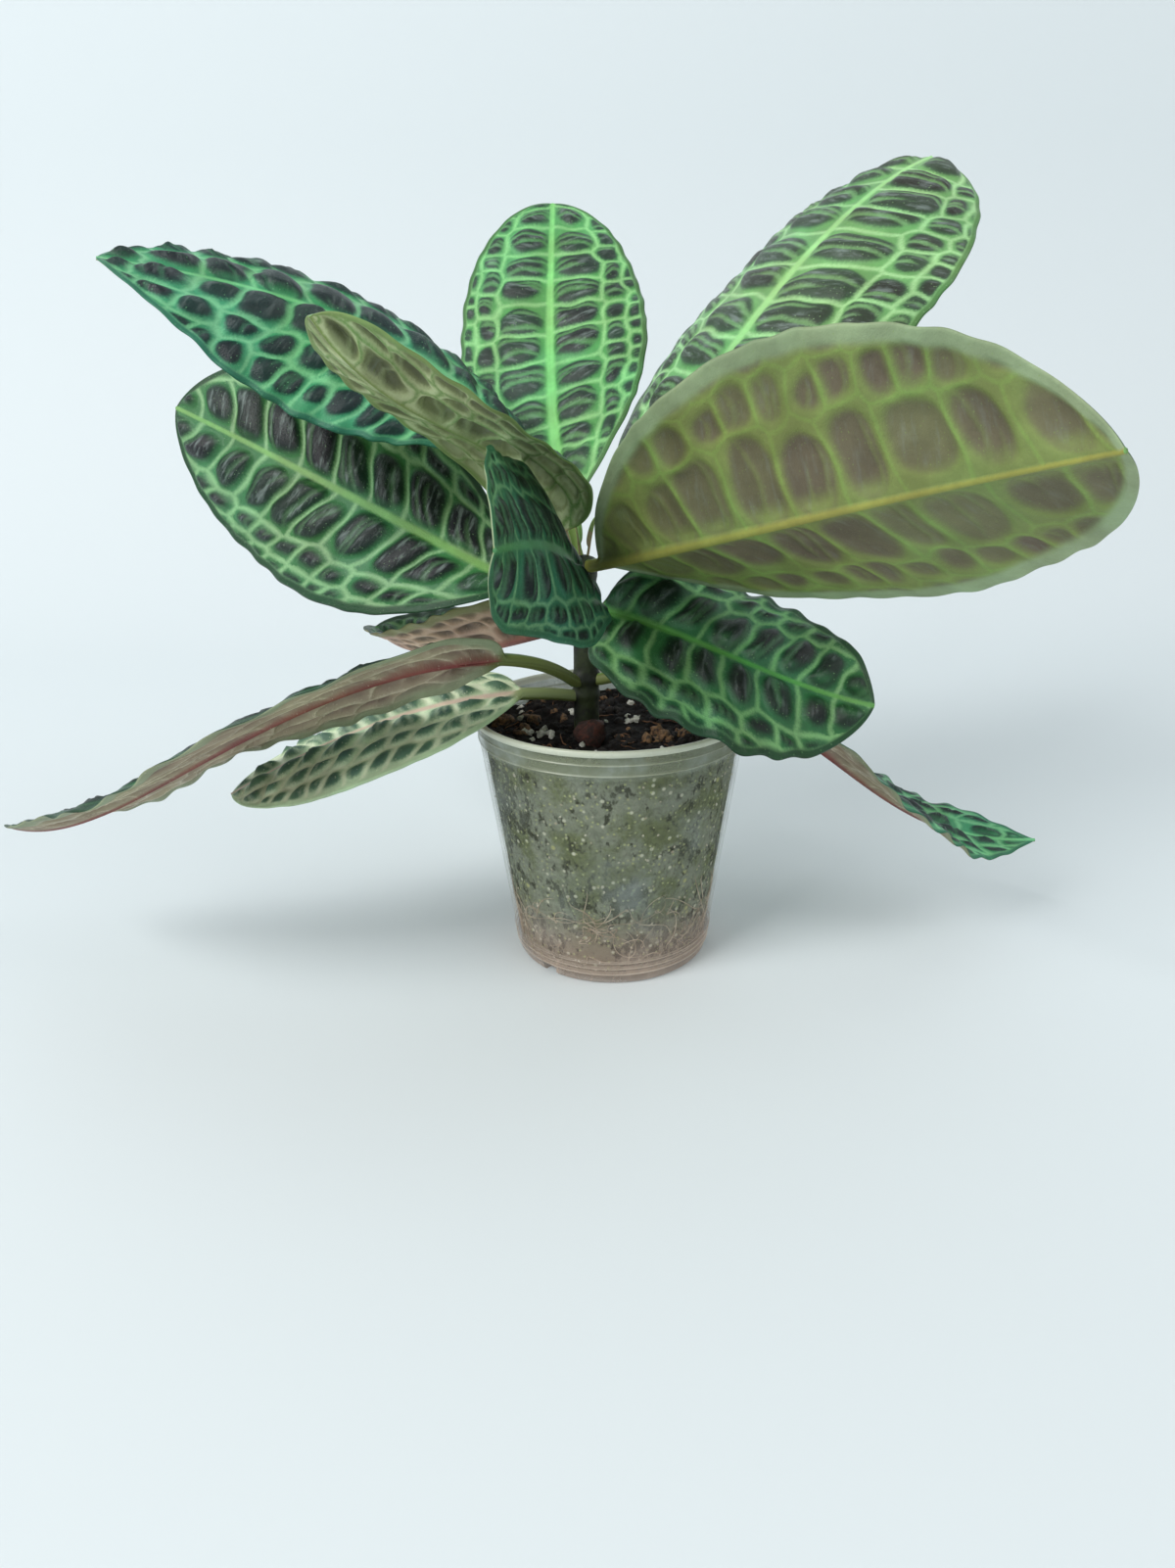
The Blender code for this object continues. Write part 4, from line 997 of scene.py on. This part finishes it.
def build_soil(settings):
    """The soil, the bits that lie on it, and the specks and roots that show through the pot."""
    plug = soil_plug(settings)
    plug.materials.append(soil_material())
    add_piece("soil_plug", plug, ["soil"])
    draw = np.random.default_rng(settings.seed + 1)
    reach = soil_side_radius(SOIL_LEVEL) - 2.0

    def on_top(x, y, sunk):
        inside = np.minimum(1.0, reach / np.maximum(np.hypot(x, y), 1e-6))
        x, y = x * inside, y * inside
        return np.stack([x, y, soil_height(settings.seed, x, y) - sunk], axis=-1)

    def spread(count):
        turn, away = draw.uniform(0, 2 * pi, count), reach * np.sqrt(draw.uniform(0.02, 1.0, count))
        return away * np.cos(turn), away * np.sin(turn)

    kinds = (("soil_crumbs", 420, (), (0.7, 2.5), 0.5, ("#030202", "#1e150f"), 0.9),
             ("soil_perlite", 22, PERLITE_SPOTS, (0.9, 2.3), 0.7, ("#9a9a90", "#dcdbd2"), 0.9),
             ("soil_bark", 34, BARK_SPOTS, (1.8, 4.4), 0.35, ("#22160d", "#80603f"), 0.75))
    for name, count, spots, (small, large), squeeze, colours, roughness in kinds:
        x, y = spread(count)
        if spots:
            x, y = np.concatenate([np.stack([x, y], axis=-1), around_spots(draw, spots)]).T
        sizes = draw.uniform(small, large, len(x))
        mesh = lumps_mesh(name, draw, on_top(x, y, 0.1 * sizes), sizes, squeeze)
        mesh.materials.append(mottled_material(name, *colours, 700.0, roughness, 0.0006))
        add_piece(name, mesh)
    x, y, size = BIG_LUMP
    mesh = lumps_mesh("soil_lump", draw, [(x, y, SOIL_LEVEL + 0.4 * size)], [size], 0.8)
    mesh.materials.append(mottled_material("red_brown_lump", "#180b07", "#4a2216", 420.0, 0.8, 0.0015))
    add_piece("soil_lump", mesh)

    steps = np.linspace(-1.0, 1.0, THREAD_STEPS)
    count = 60
    x, y = spread(count)
    heading, bow = draw.uniform(0, 2 * pi, count)[:, None], draw.normal(size=(count, 1)) * 1.6
    half = draw.uniform(2.0, 6.0, count)[:, None]
    fibre_x = x[:, None] + half * steps * np.cos(heading) - bow * steps ** 2 * np.sin(heading)
    fibre_y = y[:, None] + half * steps * np.sin(heading) + bow * steps ** 2 * np.cos(heading)
    paths = on_top(fibre_x, fibre_y, -0.3)
    mesh = threads_mesh("soil_fibres", paths, draw.uniform(0.15, 0.35, count))
    mesh.materials.append(mottled_material("soil_fibres", "#2c1c12", "#7a5334", 300.0, 0.8, 0.0002))
    add_piece("soil_fibres", mesh)

    count = 140
    turn = draw.uniform(0, 2 * pi, count)[:, None] + draw.normal(size=(count, 1)) * 0.16 * steps
    height = draw.uniform(8.0, 30.0, count)[:, None] + draw.normal(size=(count, 1)) * 6.0 * steps
    turn = turn + 0.06 * np.sin(3 * steps + draw.uniform(0, 6, (count, 1)))
    height = np.clip(height + 1.5 * np.sin(4 * steps + draw.uniform(0, 6, (count, 1))), 5.0, 80.0)
    away = soil_side_radius(height) + 0.25
    paths = np.stack([away * np.cos(turn), away * np.sin(turn), height], axis=-1)
    mesh = threads_mesh("root_threads", paths, draw.uniform(0.12, 0.26, count))
    mesh.materials.append(mottled_material("roots", "#a08a74", "#d9cab4", 200.0, 0.7, 0.0002))
    add_piece("root_threads", mesh)

    count = 340
    turn, height = draw.uniform(0, 2 * pi, count), 5.0 + 78.0 * draw.uniform(0, 1, count) ** 1.9
    sizes = draw.uniform(0.4, 1.3, count) * np.where(height < 26, 1.25, 0.8)
    away = soil_side_radius(height) + 0.5 - sizes
    mesh = lumps_mesh("side_specks", draw, np.stack([away * np.cos(turn), away * np.sin(turn), height], axis=-1),
                      sizes, 0.6)
    mesh.materials.append(mottled_material("side_specks", "#a79c86", "#dcd6c4", 500.0, 0.8, 0.0004))
    add_piece("side_specks", mesh)


# Stem

def build_stem(settings):
    """The stem: a circle carried up Z, with a swelling all round at each leaf and one under its petiole."""
    heights = np.linspace(STEM_FOOT, STEM_TOP, settings.rings)
    turn = np.arange(settings.sides) * 2 * pi / settings.sides
    radius = np.array([stem_radius(height) for height in heights])[:, None] * np.ones(settings.sides)
    for leaf in LEAVES:
        aside = (turn - radians(leaf.azimuth[0]) + pi) % (2 * pi) - pi
        near = np.exp(-(aside / 0.5) ** 2) * np.exp(-((heights - leaf.height) / 2.2) ** 2)[:, None]
        radius = radius + 1.5 * near
    round_top = np.sqrt(np.clip((STEM_TOP + 0.1 - heights) / 2.5, 0.0, 1.0))[:, None]
    radius = radius * round_top
    points = np.stack([STEM_X + radius * np.cos(turn), STEM_Y + radius * np.sin(turn),
                       np.broadcast_to(heights[:, None], radius.shape)], axis=-1)
    count = points.shape[0] * settings.sides
    index = np.arange(count).reshape(points.shape[0], -1)
    index = np.concatenate([index, index[:, :1]], axis=1)
    centres = np.array([(STEM_X, STEM_Y, STEM_FOOT), (STEM_X, STEM_Y, STEM_TOP)])
    mesh = surface_mesh("stem_bark", np.concatenate([points.reshape(-1, 3), centres]),
                        [grid_quads(index), fan(index[0, :-1][::-1], count), fan(index[-1, :-1], count + 1)])
    mesh.materials.append(mottled_material("green_bark", "#0d1308", "#2a3416", 170.0, 0.6, 0.001))
    add_piece("stem_bark", mesh, ["stem"])


# Stage

def build_stage(settings):
    """A pale sheet that is the floor and curves up into the background, two soft lights and the camera."""
    front, back, bend, top = -1800.0, 420.0, 400.0, 2200.0
    turn = np.linspace(0.0, pi / 2, 17)
    along = np.concatenate([[front, -600.0, 0.0], back + bend * np.sin(turn), [back + bend]])
    height = np.concatenate([[0.0, 0.0, 0.0], bend * (1 - np.cos(turn)), [top]])
    across = np.linspace(-2200.0, 2200.0, 3)
    points = np.stack([np.broadcast_to(across, (len(along), 3)), np.broadcast_to(along[:, None], (len(along), 3)),
                       np.broadcast_to(height[:, None], (len(along), 3))], axis=-1)
    index = np.arange(points.size // 3).reshape(len(along), 3)
    mesh = surface_mesh("floor", points.reshape(-1, 3), [grid_quads(index)])
    material, _, shader = new_material("pale_sheet")
    shader.inputs["Base Color"].default_value = (*settings.floor_colour, 1.0)
    shader.inputs["Roughness"].default_value = 0.9
    mesh.materials.append(material)
    floor = bpy.data.objects.new("floor", mesh)
    bpy.context.scene.collection.objects.link(floor)

    world = bpy.data.worlds.new("soft_room")
    world.use_nodes = True
    background = world.node_tree.nodes["Background"]
    background.inputs["Color"].default_value = (*settings.room_colour, 1.0)
    background.inputs["Strength"].default_value = settings.room_light
    bpy.context.scene.world = world
    for name, place, size, power in (("lamp_left", (-1.4, -1.1, 1.6), 1.1, settings.lamp_light),
                                     ("lamp_right", (1.6, -0.8, 1.7), 1.6, settings.lamp_light / 3)):
        light = bpy.data.lights.new(name, "AREA")
        light.size = size
        light.energy = power
        lamp = bpy.data.objects.new(name, light)
        lamp.location = place
        towards = Matrix.Translation((0, 0, 0.12)).translation - lamp.location
        lamp.rotation_euler = towards.to_track_quat("-Z", "Y").to_euler()
        bpy.context.scene.collection.objects.link(lamp)
    bpy.context.scene.view_settings.view_transform = "Standard"

    pitch, roll = radians(CAMERA_PITCH), radians(CAMERA_ROLL)
    forward = np.array([0.0, cos(pitch), -sin(pitch)])
    level = np.array([1.0, 0.0, 0.0])
    up = np.cross(level, forward)
    right = level * cos(roll) + up * sin(roll)
    above = up * cos(roll) - level * sin(roll)
    lens = bpy.data.cameras.new("camera")
    lens.sensor_width = SENSOR
    lens.lens = FOCAL_PIXELS / IMAGE_HEIGHT * SENSOR
    lens.clip_start = 0.01
    camera = bpy.data.objects.new("camera", lens)
    matrix = np.eye(4)
    matrix[:3, 0], matrix[:3, 1], matrix[:3, 2] = right, above, -forward
    matrix[:3, 3] = np.array(CAMERA_PLACE) * MM
    camera.matrix_world = Matrix(matrix.tolist())
    bpy.context.scene.collection.objects.link(camera)
    bpy.context.scene.camera = camera


def build_leaves(settings):
    """All leaves, each with its upper and lower finish."""
    finishes = {name: leaf_material(f"leaf_{name}", finish) for name, finish in FINISHES.items()}
    for number, leaf in enumerate(LEAVES):
        spacing = settings.spacing / MM * 1.0 * min(1.0, leaf.length / SHOOT_LENGTH)
        mesh = leaf_mesh(leaf, number, spacing, settings.quilt / MM)
        mesh.materials.append(finishes[leaf.upper])
        mesh.materials.append(finishes[leaf.under])
        add_piece(f"{leaf.name}_blade", mesh, [leaf.name])


class ArdisiaLeafSettings(bpy.types.PropertyGroup):
    """Sizes of the leaves."""
    spacing: FloatProperty(name="Mesh spacing", description="Distance between the points of a leaf's finer face",
                           default=0.0008, min=0.0003, unit="LENGTH")
    quilt: FloatProperty(name="Quilt height", description="How far a cell between the veins bulges",
                         default=0.0034, min=0.0, unit="LENGTH")


class ArdisiaPotSettings(bpy.types.PropertyGroup):
    """Fineness of the pot."""
    sides: IntProperty(name="Sides", description="Faces round the pot", default=128, min=16)


class ArdisiaSoilSettings(bpy.types.PropertyGroup):
    """Fineness of the soil."""
    seed: IntProperty(name="Seed", description="Seed of the soil's random waves", default=3)
    sides: IntProperty(name="Sides", description="Faces round the soil", default=160, min=16)
    rings: IntProperty(name="Rings", description="Rings of points on the soil's top", default=60, min=8)


class ArdisiaStemSettings(bpy.types.PropertyGroup):
    """Fineness of the stem."""
    sides: IntProperty(name="Sides", description="Faces round the stem", default=48, min=8)
    rings: IntProperty(name="Rings", description="Rings of points up the stem", default=120, min=8)


class ArdisiaStageSettings(bpy.types.PropertyGroup):
    """Colours and strengths of the stage."""
    floor_colour: FloatVectorProperty(name="Floor", description="Colour of the sheet under the pot",
                                      subtype="COLOR", default=(0.73, 0.785, 0.80), min=0.0, max=1.0)
    room_colour: FloatVectorProperty(name="Room light", description="Colour of the light from all round",
                                     subtype="COLOR", default=(0.93, 0.97, 1.0), min=0.0, max=1.0)
    room_light: FloatProperty(name="Room strength", description="Strength of the light from all round",
                              default=0.52, min=0.0)
    lamp_light: FloatProperty(name="Lamp power", description="Power of the soft lamp on the left",
                              default=36.0, min=0.0, unit="POWER")


class ArdisiaPotOperator(bpy.types.Operator):
    """Build the clear plastic pot"""
    bl_idname = "ardisia.pot"
    bl_label = "Pot"

    def execute(self, context):
        build_pot(context.scene.ardisia_pot)
        return {"FINISHED"}


class ArdisiaSoilOperator(bpy.types.Operator):
    """Build the soil in the pot"""
    bl_idname = "ardisia.soil"
    bl_label = "Soil"

    def execute(self, context):
        build_soil(context.scene.ardisia_soil)
        return {"FINISHED"}


class ArdisiaStemOperator(bpy.types.Operator):
    """Build the stem"""
    bl_idname = "ardisia.stem"
    bl_label = "Stem"

    def execute(self, context):
        build_stem(context.scene.ardisia_stem)
        return {"FINISHED"}


class ArdisiaLeavesOperator(bpy.types.Operator):
    """Build the leaves"""
    bl_idname = "ardisia.leaves"
    bl_label = "Leaves"

    def execute(self, context):
        build_leaves(context.scene.ardisia_leaves)
        return {"FINISHED"}


class ArdisiaStageOperator(bpy.types.Operator):
    """Build the floor, the lights and the camera"""
    bl_idname = "ardisia.stage"
    bl_label = "Stage"

    def execute(self, context):
        build_stage(context.scene.ardisia_stage)
        return {"FINISHED"}


OPERATORS = (ArdisiaStageOperator, ArdisiaPotOperator, ArdisiaSoilOperator, ArdisiaStemOperator,
             ArdisiaLeavesOperator)
SETTINGS = {"ardisia_stage": ArdisiaStageSettings, "ardisia_pot": ArdisiaPotSettings,
            "ardisia_soil": ArdisiaSoilSettings, "ardisia_stem": ArdisiaStemSettings,
            "ardisia_leaves": ArdisiaLeafSettings}


class ArdisiaPanel(bpy.types.Panel):
    """The steps and their settings"""
    bl_idname = "VIEW3D_PT_ardisia"
    bl_label = "Ardisia"
    bl_space_type = "VIEW_3D"
    bl_region_type = "UI"
    bl_category = "Ardisia"

    def draw(self, context):
        for operator, label in zip(OPERATORS, SETTINGS):
            box = self.layout.box()
            group = getattr(context.scene, label)
            for name in group.__annotations__:
                box.prop(group, name)
            box.operator(operator.bl_idname)


def register():
    """Register the settings, the operators and the panel."""
    for kind in (*SETTINGS.values(), *OPERATORS, ArdisiaPanel):
        bpy.utils.register_class(kind)
    for label, kind in SETTINGS.items():
        setattr(bpy.types.Scene, label, PointerProperty(type=kind))


def unregister():
    """Undo register."""
    for label in SETTINGS:
        delattr(bpy.types.Scene, label)
    for kind in reversed((*SETTINGS.values(), *OPERATORS, ArdisiaPanel)):
        bpy.utils.unregister_class(kind)


def main():
    """Build everything."""
    register()
    bpy.ops.ardisia.stage()
    bpy.ops.ardisia.pot()
    bpy.ops.ardisia.soil()
    bpy.ops.ardisia.stem()
    bpy.ops.ardisia.leaves()


if __name__ == "__main__":
    main()
